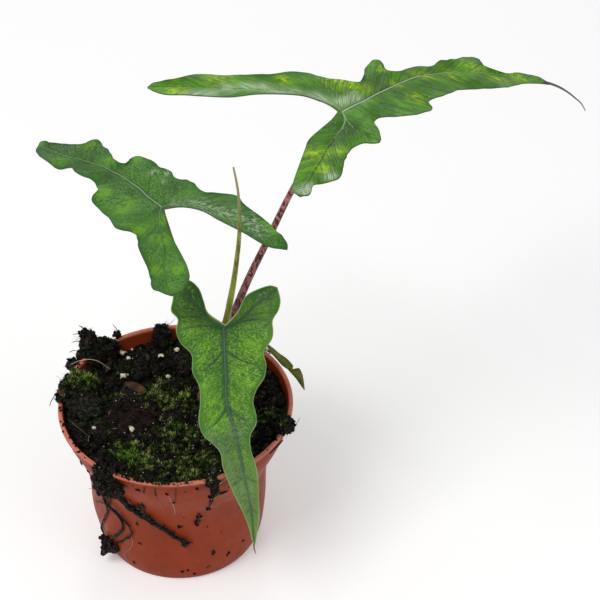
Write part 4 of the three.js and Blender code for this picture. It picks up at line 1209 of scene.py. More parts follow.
# %% Turn the pot
deselect()
start_radius, start_height = profile[0]
start_place = (0, 0, start_height * MM)
bpy.ops.mesh.primitive_circle_add(vertices=POT_SIDES, radius=start_radius * MM, location=start_place)
pot = bpy.context.object
bpy.ops.object.transform_apply(location=True, rotation=True, scale=True)
bpy.ops.object.mode_set(mode="EDIT")
bpy.ops.mesh.select_all(action="SELECT")
bpy.ops.mesh.edge_face_add()
bpy.ops.mesh.select_all(action="SELECT")
bpy.ops.mesh.select_mode(type="EDGE")
bpy.ops.mesh.region_to_loop()
for (r0, z0), (r1, z1) in zip(profile, profile[1:]):
    bpy.ops.mesh.extrude_edges_move(TRANSFORM_OT_translate={"value": (0, 0, (z1 - z0) * MM)})
    bpy.ops.transform.resize(value=(r1 / r0, r1 / r0, 1), center_override=(0, 0, z1 * MM))
bpy.ops.mesh.edge_face_add()
bpy.ops.mesh.select_mode(type="VERT")
face_outwards()
bpy.ops.object.mode_set(mode="OBJECT")
print("pot rings", len(profile))

# %% Drain holes and dents
FIRM_FLOOR = 38  # inside this radius nothing is dented
drills = []
for i in range(DRAIN["count"]):
    turn = 2 * math.pi * i / DRAIN["count"]
    deselect()
    place = (DRAIN["circle"] * math.cos(turn) * MM, DRAIN["circle"] * math.sin(turn) * MM, 0)
    bpy.ops.mesh.primitive_cylinder_add(
        vertices=32, radius=DRAIN["radius"] * MM, depth=10 * MM, location=place)
    drills.append(bpy.context.object)
drill = joined(drills)
bore = pot.modifiers.new("drain", "BOOLEAN")
bore.object = drill
bore.operation = "DIFFERENCE"
bore.solver = "EXACT"
bpy.context.view_layer.objects.active = pot
bpy.ops.object.modifier_apply(modifier=bore.name)
bpy.data.objects.remove(drill)
corners = points_of(pot)
angle = np.degrees(np.arctan2(corners[:, 1], corners[:, 0]))
reach = np.hypot(corners[:, 0], corners[:, 1])
moved = np.where(reach > FIRM_FLOOR, 1 + dent(angle, corners[:, 2]) / np.maximum(reach, 1), 1)
corners[:, :2] *= moved[:, None]
set_points(pot, corners)
smooth(pot, 35)

# %% Pot finish
plastic = Finish("clay_red_plastic", 0.42, 0.1)
plastic.ground(plastic.ramp(plastic.noise(28, 4), 0.3, 0.7), (135, 49, 19), (149, 57, 24))
downward = plastic.mapped(plastic.places, (1, 1, 0.25))
plastic.coat(plastic.ramp(plastic.noise(120, 4, downward), 0.45, 0.75, 0.0, 0.35), (122, 48, 30))
plastic.coat(plastic.ramp(plastic.noise(60, 5, None, 0.65), 0.6, 0.75, 0.0, 0.45), (96, 44, 32))
dust = plastic.ramp(plastic.cells(420), 0.1, 0.17, 0.85, 0.0)
rare = plastic.ramp(plastic.noise(90, 3), 0.55, 0.66)
plastic.coat(plastic.sum("MULTIPLY", dust, rare), (52, 30, 24))
# The top of the rim is painted light salmon: a painted highlight where it faces the light from above
height_above = plastic.node("ShaderNodeSeparateXYZ", {0: plastic.places}, output="Z")
plastic.coat(plastic.ramp(height_above, 0.0878, 0.0893, 0.0, 0.85), (226, 134, 112))
plastic.coat(plastic.ramp(plastic.noise(240, 4, None, 0.65), 0.35, 0.7, 0.0, 0.3), (118, 48, 28))
plastic.give("Roughness", plastic.ramp(plastic.noise(140, 4), 0.3, 0.7, 0.36, 0.52))
plastic.give("Normal", plastic.bump(plastic.noise(700, 4), 0.05, 0.6))
seat(pot, "nursery_pot", plastic.material, "pot", "pot")

# %% [markdown]
# ## The soil
#
# The mix is black, damp peat with crumbs, fibres, white perlite and moss. Its surface is a grid squeezed
# into a disc, so that no corner of it crowds, and lifted by the same height formula as the solid, with
# finer lumps on top. The clods that heap over the rim are rough balls with their own crumbs. Its sides are
# extruded down inside the pot, so the soil is a closed body.

# %% Soil height
CROWN = (19, 9.5)
SOIL_LEVEL, SOIL_SLOPE, SOIL_BOTTOM = 84, 0.05, 3.6


def soil_height(x, y):
    heap = 2 * np.exp(-((x - CROWN[0]) ** 2 + (y - CROWN[1]) ** 2) / 160)
    lumps = 2.6 * noise(x / 11, y / 11, 3.5) + 1.4 * noise(x / 6, y / 6, 7.5)
    return SOIL_LEVEL - SOIL_SLOPE * y + heap + lumps


def fine_height(x, y):
    crumbs = np.abs(rough(x, y, 2.5, 4.5, 3))
    return soil_height(x, y) + 1.9 * crumbs + 0.9 * rough(x, y, 8.5, 2.2, 3) - 0.8


# %% Soil surface
SOIL_RADIUS = 57.3
deselect()
bpy.ops.mesh.primitive_grid_add(x_subdivisions=220, y_subdivisions=220, size=2)
ground = bpy.context.object
square = points_of(ground) * MM
x, y = square[:, 0], square[:, 1]
disc_x = SOIL_RADIUS * x * np.sqrt(1 - y * y / 2)
disc_y = SOIL_RADIUS * y * np.sqrt(1 - x * x / 2)
set_points(ground, np.column_stack([disc_x, disc_y, fine_height(disc_x, disc_y)]))
edit(ground, face_outwards)
if sum(face.normal.z for face in ground.data.polygons) < 0:
    edit(ground, bpy.ops.mesh.flip_normals)

# %% Soil sides
SIDE_HEIGHTS = (79, 72, 64, 58, 52, 45, 35, 25, SOIL_BOTTOM)
deselect()
ground.select_set(True)
bpy.context.view_layer.objects.active = ground
before = len(ground.data.vertices)
bpy.ops.object.mode_set(mode="EDIT")
bpy.ops.mesh.select_mode(type="EDGE")
bpy.ops.mesh.select_all(action="SELECT")
bpy.ops.mesh.region_to_loop()
for height in SIDE_HEIGHTS:
    bpy.ops.mesh.extrude_edges_move(TRANSFORM_OT_translate={"value": (0, 0, -MM)})
bpy.ops.mesh.edge_face_add()
bpy.ops.mesh.select_mode(type="VERT")
bpy.ops.object.mode_set(mode="OBJECT")
corners = points_of(ground)
ring = (len(corners) - before) // len(SIDE_HEIGHTS)
for k, height in enumerate(SIDE_HEIGHTS):
    here = slice(before + k * ring, before + (k + 1) * ring)
    turn = np.arctan2(corners[here, 1], corners[here, 0])
    r = pot_radius(height) + dent(np.degrees(turn), height) - POT_WALL - 0.7
    corners[here] = np.column_stack([r * np.cos(turn), r * np.sin(turn), np.full(ring, height)])
set_points(ground, corners)

# %% Clods over the rim
CLODS = [  # centre and half sizes
    ((-47, 42, 91.5), (5.5, 6, 7)), ((-50, 43.5, 96), (2.6, 2.6, 4.6)), ((-41, 44, 88), (7.5, 6, 4.5)),
    ((-47, 37, 88), (7, 6, 5)), ((-56, 31, 86.5), (3.4, 3.4, 4)), ((-33.5, 50, 91.3), (2.2, 2, 1.4)),
    ((-50.5, 8, 89), (10.5, 12, 5)), ((-46, -3, 88), (8, 8, 5)), ((-31.5, -45.5, 86.5), (8.4, 8, 5.2)),
    ((-32, -52, 83), (6.2, 5, 8)), ((-28, -55, 80.5), (4, 4, 4.6)), ((20, -55, 87.5), (4.2, 4, 3.6)),
    ((21.5, -58.8, 84.5), (2.2, 2.2, 4)), ((50, -18, 90), (8, 6, 5)), ((55.5, -19.5, 91), (6.4, 5.6, 4.8)),
    ((-10, 53, 85), (5.5, 5, 8)),
]
SOIL_LUMPS = [  # place and half size
    (-20, 25.5, 4.6), (-18.5, 36, 4.4), (-37, 20, 3.8), (-37, 33, 4.2), (-13, 30.5, 3.0), (-3, 16, 3.8),
    (3, 31, 4.4), (-36, -25, 3.4), (-46.5, -23, 3.6), (-13.5, -25, 3.2), (34, -9, 4.8), (41, 8, 5.0),
    (43, -27, 4.0), (30, 31, 4.6), (41, 21, 3.8), (-31, 2, 2.8), (-10, -3, 2.8), (2, -2, 3.0),
]


def clod(centre, size, seed, rough_share=0.3, detail=5):
    """A ball of soil with lumps on lumps."""
    deselect()
    bpy.ops.mesh.primitive_ico_sphere_add(subdivisions=detail, radius=1)
    piece = bpy.context.object
    unit = points_of(piece) * MM
    grow = 1 + rough_share * noise(*(2.1 * unit + [seed, 2 * seed, 0]).T) * 1.2
    crumbs = np.abs(rough(*(unit * np.mean(size) + 3 * seed).T, 3.2, 4))
    depth = min(1.6, 0.3 * np.mean(size))
    spread = unit * grow[:, None] * np.array(size) + unit * (depth * (crumbs - 0.45))[:, None]
    set_points(piece, np.array(centre) + spread)
    return piece


lumps = []
for seed, (centre, size) in enumerate(CLODS):
    lumps.append(clod(centre, size, seed + 1, 0.22, 5 if size[0] > 6 else 4))
for seed, (x, y, half) in enumerate(SOIL_LUMPS):
    height = float(soil_height(x, y)) + 0.25 * half
    turn = chance.uniform(-0.2, 0.2)
    size = (half * (1 + turn), half * (0.9 - turn), 0.85 * half)
    lumps.append(clod((x, y, height), size, 50 + seed, 0.5, 4))

# %% [markdown]
# Crumbs, hairs and moss will sit on the clods, so places are drawn among their corners, more of them on a
# large clod. Only those above the soil or outside the rim are kept. Then the clods are joined to the soil.

# %% Places on the clods
clod_spots = []
for (centre, size), lump in zip(CLODS, lumps):
    corners = points_of(lump)
    away = (corners - np.array(centre)) / np.array(size) ** 2
    away /= np.linalg.norm(away, axis=1)[:, None]
    for i in draw.choice(len(corners), round(3 * np.mean(size) ** 2)):
        if corners[i, 2] > 88 or np.hypot(*corners[i, :2]) > 61:
            clod_spots.append((corners[i], away[i]))
print("spots on the clods", len(clod_spots))
soil = joined([ground] + lumps)
smooth(soil, 70)

# %% [markdown]
# Damp peat is nearly black and shines where it is wet, so its roughness swings widely over a millimetre or
# two, and fine pale specks are painted on as wet glints. A russet tint comes and goes. At the left a grey
# film of algae lies on it, in the middle a reddish mat of fine roots, and thin green films elsewhere.

# %% Soil finish
peat = Finish("damp_peat", 0.8, 0.12)
peat.ground(peat.ramp(peat.noise(150, 5), 0.34, 0.68), (1, 1, 1), (28, 23, 19))
peat.coat(peat.ramp(peat.noise(60, 4), 0.52, 0.7, 0.0, 0.6), (38, 24, 20))
grit = peat.ramp(peat.noise(1100, 2), 0.5, 0.66)
grey_film, red_film = peat.near(-45, -6, 86, 13, 0.8), peat.near(-20, -8, 85, 16, 0.5)
peat.coat(peat.sum("MULTIPLY", grey_film, grit), (74, 84, 72))
peat.coat(peat.sum("MULTIPLY", red_film, grit), (60, 34, 30))
# Fine pale grey specks: painted glints where the peat is wet
peat.coat(peat.ramp(peat.noise(1700, 1), 0.57, 0.66, 0.0, 0.5), (112, 106, 96))
peat.coat(peat.ramp(peat.noise(48, 3), 0.55, 0.72, 0.0, 0.5), (34, 42, 22))
peat.give("Roughness", peat.ramp(peat.noise(700, 3), 0.36, 0.5, 0.28, 0.95))
peat.give("Normal", peat.bump(peat.noise(1000, 5, None, 0.7), 0.7, 1.0))
seat(soil, "soil_bed", peat.material, "soil", "soil")

# %% [markdown]
# ## Crumbs, fibres and moss
#
# What makes soil look like soil is thousands of small things. Each kind is modelled once with a few faces,
# and copies are stamped on the surface, turned and sized by a seeded random draw. A ray from above finds
# the surface and its slope at each spot.

# %% Stamp copies on the soil
soil_tree = BVHTree.FromObject(soil, bpy.context.evaluated_depsgraph_get())


def soil_spot(x, y):
    """The surface under a place, with its slope, in millimetres; None beside the soil."""
    place, normal, _, _ = soil_tree.ray_cast(Vector((x * MM, y * MM, 0.2)), Vector((0, 0, -1)))
    if place is None or place.z < 0.06:
        return None
    return np.array(place) / MM, np.array(normal)


def turned(normal, lean, spin):
    """Three axes: the third follows the slope, leaned a little, and the others are spun about it."""
    up = np.array(normal) + lean
    up /= np.linalg.norm(up)
    side = np.cross(up, (math.cos(spin), math.sin(spin), 0.2))
    side /= np.linalg.norm(side)
    return np.array([side, np.cross(up, side), up])


def mesh_piece(name, points, faces, extra):
    """One mesh from stamped copies; extra holds a number for each corner under each name."""
    made = bpy.data.meshes.new(name)
    made.from_pydata((np.asarray(points) * MM).tolist(), [], faces)
    piece = bpy.data.objects.new(name, made)
    bpy.context.scene.collection.objects.link(piece)
    for key, values in extra.items():
        mark(piece, key, values)
    return piece


def stamped(name, pattern, copies):
    """Copies of a pattern; each copy is a place, three axes, three sizes and a tone."""
    shape = points_of(pattern)
    faces = [tuple(face.vertices) for face in pattern.data.polygons]
    tip = (shape[:, 2] - shape[:, 2].min()) / max(np.ptp(shape[:, 2]), 1e-9)
    places, all_faces, tones, tips = [], [], [], []
    for place, axes, size, tone in copies:
        shift = len(places) * len(shape)
        places.append(place + (shape * size) @ axes)
        all_faces += [tuple(shift + i for i in face) for face in faces]
        tones.append(np.full(len(shape), tone))
        tips.append(tip)
    bpy.data.objects.remove(pattern)
    extra = {"tone": np.concatenate(tones), "tip": np.concatenate(tips)}
    return mesh_piece(name, np.vstack(places), all_faces, extra)


# %% Soil crumbs
deselect()
bpy.ops.mesh.primitive_ico_sphere_add(subdivisions=1, radius=1 * MM)
crumb = bpy.context.object
bent = points_of(crumb)
set_points(crumb, bent * (1 + 0.28 * noise(*(3 * bent + 5).T))[:, None])


def loose_crumb(place, normal, size):
    """One crumb that sits on a surface, flattened by chance, as a copy to stamp."""
    stretch = np.array([1 + 0.8 * chance.random(), 1, 0.6 + 0.5 * chance.random()]) * size
    axes = turned(normal, draw.normal(0, 0.6, 3), 6.3 * chance.random())
    return place + 0.25 * size * np.asarray(normal), axes, stretch, chance.random()


CRUMBS = 4200
RIM_SPILL = [  # angle and number
    (196, 14), (216, 10), (236, 5), (246, 24), (255, 30), (264, 26), (272, 18), (281, 8), (288, 9), (303, 8),
    (330, 6), (150, 10),
]
crumb_copies = [loose_crumb(place, away, 0.3 + 0.7 * chance.random() ** 2) for place, away in clod_spots]
for at, count in RIM_SPILL:
    for _ in range(count):
        turn, r = math.radians(at + chance.gauss(0, 5)), 57.5 + 3 * chance.random()
        place = np.array([r * math.cos(turn), r * math.sin(turn), 90])
        crumb_copies.append(loose_crumb(place, (0, 0, 1), 0.25 + 0.5 * chance.random()))
spilled = len(crumb_copies)
while len(crumb_copies) < spilled + CRUMBS:
    r, turn = 60 * math.sqrt(chance.random()), 2 * math.pi * chance.random()
    spot = soil_spot(r * math.cos(turn), r * math.sin(turn))
    if spot is None:
        continue
    crumb_copies.append(loose_crumb(*spot, 0.25 + 1.5 * chance.random() ** 7))
print("crumbs on the soil", len(crumb_copies))

# %% [markdown]
# Some crumbs stick to the outside of the pot, mostly below the places where soil has spilled over the rim.
# They are placed by angle and height on the dented wall, flattened against it.

# %% Crumbs on the wall
WALL_CRUMBS = [  # angle, height and size
    (254, 81.5, 1.0), (246, 43.4, 0.9), (273, 46, 1.0), (284, 48.4, 1.9), (285, 53, 1.2), (285, 56, 0.7),
    (294, 20.2, 1.3), (306, 13.2, 1.0), (291, 58.2, 1.1), (238, 7.8, 1.0), (273, 7.5, 1.0), (277, 8.5, 0.7),
    (281, 4.9, 0.8), (291, 8.7, 0.7), (246, 27.5, 0.7), (320, 16.5, 0.8), (290, 42.5, 0.5), (274, 57.1, 0.4),
    (268, 81.6, 0.8), (256, 20.3, 0.4), (254, 14, 0.4), (271, 72.3, 0.8), (253, 64.8, 1.2), (298, 72.9, 0.7),
    (296, 73.4, 0.8), (294, 74.8, 1.3), (291, 73.6, 1.5), (291, 69, 1.1), (278, 82.6, 0.5), (283, 84.4, 0.8),
    (285, 86.7, 0.6), (299, 77, 0.5), (262, 60, 0.4), (300, 34, 0.4), (310, 40, 0.4), (247, 58, 0.5),
    (224, 66, 0.8), (221, 60, 0.9), (218, 72, 1.1), (215, 78, 1.2), (229, 76, 1.4), (233, 72, 1.5),
    (20, 40, 0.7), (45, 62, 0.9), (80, 30, 0.8), (100, 70, 1.0), (130, 22, 0.7), (150, 55, 0.9),
    (172, 34, 0.6),
]
FRONT_DIRT, ROUND_DIRT = 60, 110  # specks under the spilled soil and all round the wall
wall_dirt = [(chance.uniform(232, 302), 88 - 22 * chance.random() ** 2, 0.2 + 0.3 * chance.random() ** 3)
             for _ in range(FRONT_DIRT)]
wall_dirt += [(chance.uniform(0, 360), chance.uniform(2, 86), 0.16 + 0.25 * chance.random() ** 3)
              for _ in range(ROUND_DIRT)]
for angle, z, size in WALL_CRUMBS + wall_dirt:
    for _ in range(3 if size > 0.5 else 1):
        a, h = angle + chance.gauss(0, 0.6), z + chance.gauss(0, 0.5 * size)
        outward = on_wall(a, h, 1)[0] - on_wall(a, h, 0)[0]
        axes = turned(outward, np.zeros(3), 6.3 * chance.random())
        half = size * (0.5 + 0.5 * chance.random())
        place = on_wall(a, h, 0.25 * half + 0.1)[0]
        flat = np.array([1.3 * half, 0.7 * half, 0.35 * half])
        crumb_copies.append((place, axes, flat, 0.5 * chance.random() if size > 0.45 else chance.random()))
print("crumbs with the wall's", len(crumb_copies))
crumbs = stamped("soil_crumbs", crumb, crumb_copies)
crumb_finish = Finish("peat_crumbs", 0.5, 0.12)
tone = crumb_finish.mark("tone")
crumb_finish.ground(crumb_finish.ramp(tone, 0.2, 0.9), (1, 1, 1), (25, 20, 17))
crumb_finish.coat(crumb_finish.ramp(tone, 0.88, 0.93, 0.0, 0.7), (66, 66, 58))
crumb_finish.coat(crumb_finish.ramp(tone, 0.96, 1.0, 0.0, 0.8), (84, 56, 42))
grey_film = crumb_finish.near(-45, -6, 86, 14, 0.7)
crumb_finish.coat(crumb_finish.sum("MULTIPLY", grey_film, crumb_finish.noise(900, 2)), (84, 94, 80))
crumb_finish.give("Roughness", crumb_finish.ramp(crumb_finish.noise(600, 2), 0.36, 0.5, 0.25, 0.95))
crumb_finish.give("Normal", crumb_finish.bump(crumb_finish.noise(1500, 3), 0.3, 0.8))
seat(crumbs, "soil_crumbs", crumb_finish.material, "soil")


# %% [markdown]
# Peat is full of fine threads. Each one starts at a place of chance and walks over the surface in short
# steps, turning a little at every step. A quarter of them make the reddish mat in the middle. Shorter hairs
# stand out of the clods. A bevelled curve for each would be slow, so all of them are written as one mesh of
# thin tubes.

# %% Fibres and fine roots
THREADS = 1900
REDDISH_THREADS = 500
THREAD_POINTS = 7
CLOD_HAIRS = 800


def thread(points, radius):
    """Corners and faces of a thin three-sided thread that tapers at both ends."""
    line = np.asarray(points, float)
    across, upward = frames_along(line)
    rings = []
    for i, centre in enumerate(line):
        share = i / (len(line) - 1)
        r = radius * (0.35 + 0.65 * math.sin(math.pi * (0.08 + 0.84 * share)))
        for turn in (0, 2.094, 4.189):
            rings.append(centre + r * (math.cos(turn) * across[i] + math.sin(turn) * upward[i]))
    faces = [(0, 2, 1), (len(rings) - 3, len(rings) - 2, len(rings) - 1)]
    for i in range(len(line) - 1):
        for j in range(3):
            a, b = 3 * i + j, 3 * i + (j + 1) % 3
            faces.append((a, b, b + 3, a + 3))
    return rings, faces


threads, thread_faces, thread_tones = [], [], []


def add_thread(points, radius, tone):
    rings, faces = thread(points, radius)
    shift = len(threads)
    threads.extend(rings)
    thread_faces.extend(tuple(shift + i for i in face) for face in faces)
    thread_tones.extend([tone] * len(rings))


made_threads = 0
while made_threads < THREADS:
    r, turn = 58 * math.sqrt(chance.random()), 2 * math.pi * chance.random()
    x, y, heading = r * math.cos(turn), r * math.sin(turn), 6.3 * chance.random()
    reddish = made_threads < REDDISH_THREADS
    if reddish:
        x, y = chance.gauss(-20, 8), chance.gauss(-9, 7)
    route = []
    for _ in range(THREAD_POINTS):
        spot = soil_spot(x, y)
        if spot is None:
            break
        route.append(spot[0] + (0.3 + 0.9 * chance.random()) * spot[1])
        heading += chance.gauss(0, 0.5)
        x, y = x + 1.1 * math.cos(heading), y + 1.1 * math.sin(heading)
    if len(route) == THREAD_POINTS:
        tone = 0.35 * chance.random() if chance.random() < 0.985 else 0.85
        radius = 0.08 + 0.1 * chance.random() ** 2
        if reddish:
            tone = 0.08 + 0.36 * chance.random()
        add_thread(route, radius, tone)
        made_threads += 1
for place, away in chance.choices(clod_spots, k=CLOD_HAIRS):
    heading = 0.7 * away + draw.normal(0, 0.6, 3)
    bend = draw.normal(0, 0.5, 3)
    length = 0.9 + 2.0 * chance.random() ** 2
    hair = [place + length * t * (heading + t * bend) for t in (-0.1, 0.2, 0.5, 0.8, 1.0)]
    add_thread(hair, 0.06 + 0.07 * chance.random(), 0.5 * chance.random() ** 2)
print("threads", made_threads, "and hairs", CLOD_HAIRS)

# %% [markdown]
# The longer hairs and roots that show against the pot and the white behind it are placed one by one: a pale
# hair that arches at the back left, pale fibres on the front wall, a light brown hair at the lower left, the
# dark strands that hang below the front clod, the spikes on the black clod at the back, and one pale fibre
# behind the small leaf.

# %% Single hairs
WALL_HAIRS = [  # angles and heights on the wall, radius and tone
    ([(239, 31), (240, 27), (237, 20), (230, 11), (232, 4)], 0.22, 0.75),
    ([(298, 86.9), (295, 84.5), (292, 82), (291, 76), (291, 70), (292, 60)], 0.25, 0.95),
    ([(269, 79.8), (270, 73), (271, 65.8), (271, 58)], 0.16, 0.8),
    ([(273, 89), (272.5, 80), (272, 70.7)], 0.22, 0.25),
    ([(291, 74), (292, 69), (291, 64), (292, 58)], 0.5, 0.02),
    ([(293, 76), (296, 73.5), (300, 74)], 0.55, 0.02),
    ([(285, 56), (284.5, 52), (284, 46)], 0.6, 0.02),
    ([(263, 86), (262.5, 82), (263, 78)], 0.35, 0.1), ([(258, 86), (257, 83), (257, 80)], 0.4, 0.05),
    ([(222, 48), (219, 50), (214, 52)], 0.3, 0.05), ([(253, 66), (254, 62), (252, 57)], 0.5, 0.03),
    ([(340, 81.5), (334, 84), (329, 85.4), (324.5, 85.8)], 0.6, 0.03),
]
for route, radius, tone in WALL_HAIRS:
    angles, heights = smooth_line(route, 5)[0].T
    add_thread(on_wall(angles, heights, radius + 0.12), radius, tone)
FREE_HAIRS = [  # places, radius and tone
    ([(-60, 28, 86), (-57, 28.5, 89), (-52, 29, 91.5), (-47, 29, 92.5), (-42, 28.5, 91.5), (-36, 27.5, 87)],
     0.15, 0.9),
    ([(-50, 43, 99), (-51, 44, 101.5), (-53, 44, 103)], 0.3, 0.05),
    ([(-52, 43, 97), (-54, 43, 98), (-56, 42, 98.3)], 0.25, 0.05),
    ([(-52, 42, 93.5), (-55, 41, 94.5), (-57, 40, 94.3)], 0.25, 0.05),
    ([(-53, 38, 90), (-56, 37, 91.5), (-58, 36, 91)], 0.25, 0.05),
    ([(-33, 50, 92), (-34, 51, 94.5), (-36, 52, 97)], 0.25, 0.05),
    ([(-63, 7, 88), (-65, 5, 85), (-66, 4, 82)], 0.25, 0.05),
    ([(-54, -14, 90), (-50, -18, 89.5), (-43, -24, 88)], 0.12, 0.72),
    ([(41, 25.5, 97.6), (45.4, 27, 97.4), (49.1, 29, 97.2)], 0.55, 0.75),
]
for route, radius, tone in FREE_HAIRS:
    add_thread(smooth_line(route, 6)[0], radius, tone)
fibres = mesh_piece("plant_fibres", threads, thread_faces, {"tone": thread_tones})
edit(fibres, face_outwards)
smooth(fibres, 80)
fibre_finish = Finish("fibre_skin", 0.6, 0.25)
fibre_tone = fibre_finish.mark("tone")
fibre_finish.ground(fibre_finish.ramp(fibre_tone, 0.1, 0.6), (6, 5, 4), (84, 46, 38))
fibre_finish.coat(fibre_finish.ramp(fibre_tone, 0.6, 0.95), (206, 186, 160))
seat(fibres, "plant_fibres", fibre_finish.material, "soil")

# %% [markdown]
# Moss grows on the damp peat in cushions. A sprig is a small star of pointed leaves, dark at the foot and
# yellow-green at the tips. Its leaves are three-sided cones, leaned outwards in two tiers. Cushions are
# drawn patch by patch and thinned with noise, so bare peat shows between them. One at the front is fresher
# and greener than the rest.

# %% A moss sprig
MOSS_PATCHES = [  # place, radius, amount and how bright its tips are
    (-48, 15, 5, 2.0, 1.1), (-53, 9, 5, 1.2, 0.8), (-40, 10, 6, 0.9, 0.7), (-24, -37, 5.5, 2.6, 1.5),
    (-15, -43, 6, 1.4, 0.9), (-31, -34, 5, 0.8, 0.8), (-9, 12, 7, 1.9, 1.2), (2, 3, 7, 1.5, 1.1),
    (0, -20, 10, 1.0, 0.8), (9, -38, 10, 1.2, 0.8), (7, -49, 8, 1.2, 0.8), (-11, -27, 9, 0.6, 0.7),
    (-10, -53, 8, 1.1, 0.8), (15, -53, 7, 1.1, 0.8), (45, -13, 7, 1.1, 1.0), (51, -21, 5, 0.9, 0.8),
    (36, -24, 8, 0.8, 0.6), (-10, 45, 6, 0.4, 0.3), (4, 26, 8, 0.35, 0.4), (25, -35, 9, 0.7, 0.6),
    (10, 30, 14, 0.25, 0.4), (-30, 30, 12, 0.2, 0.4), (36, 10, 12, 0.3, 0.4), (-40, -15, 12, 0.25, 0.3),
]
moss_leaves = []
for tier, (count, lean, height, length) in enumerate([(5, 0.95, 0.1, 1.9), (3, 0.35, 0.4, 1.8)]):
    for i in range(count):
        turn = 2 * math.pi * (i + 0.5 * tier) / count
        deselect()
        bpy.ops.mesh.primitive_cone_add(vertices=3, radius1=0.16 * MM, depth=length * MM)
        leaflet = bpy.context.object
        shape = points_of(leaflet)
        shape[:, 2] += length / 2
        set_points(leaflet, shape @ turning(1, lean) @ turning(2, turn) + [0, 0, height])
        moss_leaves.append(leaflet)
sprig = joined(moss_leaves)

# %% Cushions of moss
SPRIGS = 3600
RIM_SPRIGS = 110
moss_copies = []


def moss_sprig(place, normal, size, tone):
    """One sprig as a copy to stamp, sunk a little into the soil."""
    axes = turned(normal, draw.normal(0, 0.4, 3), 6.3 * chance.random())
    return place - 0.15 * np.asarray(normal), axes, np.array([size, size, size * 1.1]), tone


share_of_patch = np.cumsum([p[3] * p[2] ** 2 for p in MOSS_PATCHES])
while len(moss_copies) < SPRIGS:
    which = int(np.searchsorted(share_of_patch, chance.random() * share_of_patch[-1]))
    px, py, spread, _, bright = MOSS_PATCHES[which]
    x, y = px + chance.gauss(0, 0.62 * spread), py + chance.gauss(0, 0.62 * spread)
    cushion = float(noise(x / 2.2, y / 2.2, 4.5))
    if cushion < 0.03:
        continue
    spot = soil_spot(x, y)
    if spot is None or math.hypot(x, y) > 62:
        continue
    tone = min(1, bright * (0.03 + 1.6 * chance.random() ** 2.8) * (0.9 + 0.9 * cushion))
    moss_copies.append(moss_sprig(*spot, 0.6 + 0.7 * chance.random() * (0.5 + bright), tone))
for _ in range(RIM_SPRIGS):
    turn, r = math.radians(chance.gauss(261, 9)), chance.uniform(56.5, 60.6)
    place = np.array([r * math.cos(turn), r * math.sin(turn), 89.8])
    moss_copies.append(moss_sprig(place, (math.cos(turn), math.sin(turn), 1), 0.7, 0.7 * chance.random()))
for place, away in clod_spots:
    if away[2] > 0.2 and chance.random() < 0.45:
        moss_copies.append(moss_sprig(place, away, 0.5 + 0.5 * chance.random(), 0.25 * chance.random()))
print("sprigs", len(moss_copies))
moss = stamped("moss", sprig, moss_copies)

# %% Moss finish
moss_finish = Finish("moss_leaves", 0.45, 0.2)
moss_tone, moss_tip = moss_finish.mark("tone"), moss_finish.mark("tip")
fresh = moss_finish.near(-24, -37, 88, 13)
fresh = moss_finish.sum("MAXIMUM", fresh, moss_finish.ramp(moss_finish.noise(90, 2), 0.5, 0.68))
low = moss_finish.mix(moss_tone, paint(6, 10, 4), paint(40, 62, 12))
leafy = moss_finish.mix(fresh, paint(92, 130, 34), paint(82, 146, 30))
high = moss_finish.mix(moss_finish.ramp(moss_tone, 0.0, 0.5), paint(14, 26, 8), leafy)
tips = moss_finish.mix(fresh, paint(214, 224, 132), paint(178, 222, 92))
high = moss_finish.mix(moss_finish.ramp(moss_tone, 0.45, 1.0), high, tips)
moss_colour = moss_finish.mix(moss_finish.ramp(moss_tip, 0.2, 0.85), low, high)
moss_finish.give("Base Color", moss_colour)
seat(moss, "moss", moss_finish.material, "soil")

# %% [markdown]
# ## Roots, crown, bark and perlite
#
# A thick dead root lies slantwise on the front of the pot and ends in a knot, and thin ones hang at the
# left with a crumb of soil at their ends. They are rolled along the dented wall like the stalks, with knobs
# from noise and with small clods for the soil that sticks to them, more of it near the top. The crown is
# the clasped cluster of old leaf bases. Perlite is puffed volcanic glass: chalky white grains with soft
# lumps.

# %% Roots on the wall
OLD_ROOT = [(239.5, 82), (240.5, 72), (243.5, 64), (248.5, 58), (254, 53.5), (259.5, 48.5), (265, 43.5),
            (270.5, 38), (276, 34)]
OLD_STUBS = [[(275.5, 34), (278, 33.2), (280.5, 32.6)], [(275, 33.6), (275, 31.6), (274.5, 30)],
             [(250.5, 58), (251.2, 62), (254, 67)], [(251, 62), (250.3, 64), (250.6, 66)],
             [(256, 52.5), (256.4, 51), (256, 49.5)], [(263.5, 45.5), (264, 47), (265, 48.5)]]
OLD_KNOTS = [(241, 76), (241.5, 70), (243.5, 65), (246.5, 61), (249.5, 58), (252, 55.5), (254.5, 54),
             (257, 51.5)]
FINE_ROOTS = [
    ([(231, 82), (225, 66), (222, 54), (224, 49), (229, 48), (232, 46), (234, 41), (233.5, 36), (230.5, 30),
      (225, 23.5), (217, 14)], 0.7, 0.65),
    ([(222.5, 52), (222.5, 45), (218.5, 36), (212.5, 25), (208, 17), (212, 12)], 0.5, 0.35),
    ([(231, 48), (235.5, 44), (238.5, 39), (240.2, 35), (239, 31), (235, 27.5), (228, 20), (219, 14)],
     0.45, 0.4),
    ([(235, 80), (231, 64), (229, 56), (226, 50), (223.5, 46)], 0.5, 0.4),
    ([(223, 47.5), (214, 43), (206, 38)], 0.3, 0.2), ([(236, 43), (239, 40), (241, 41)], 0.25, 0.2),
]


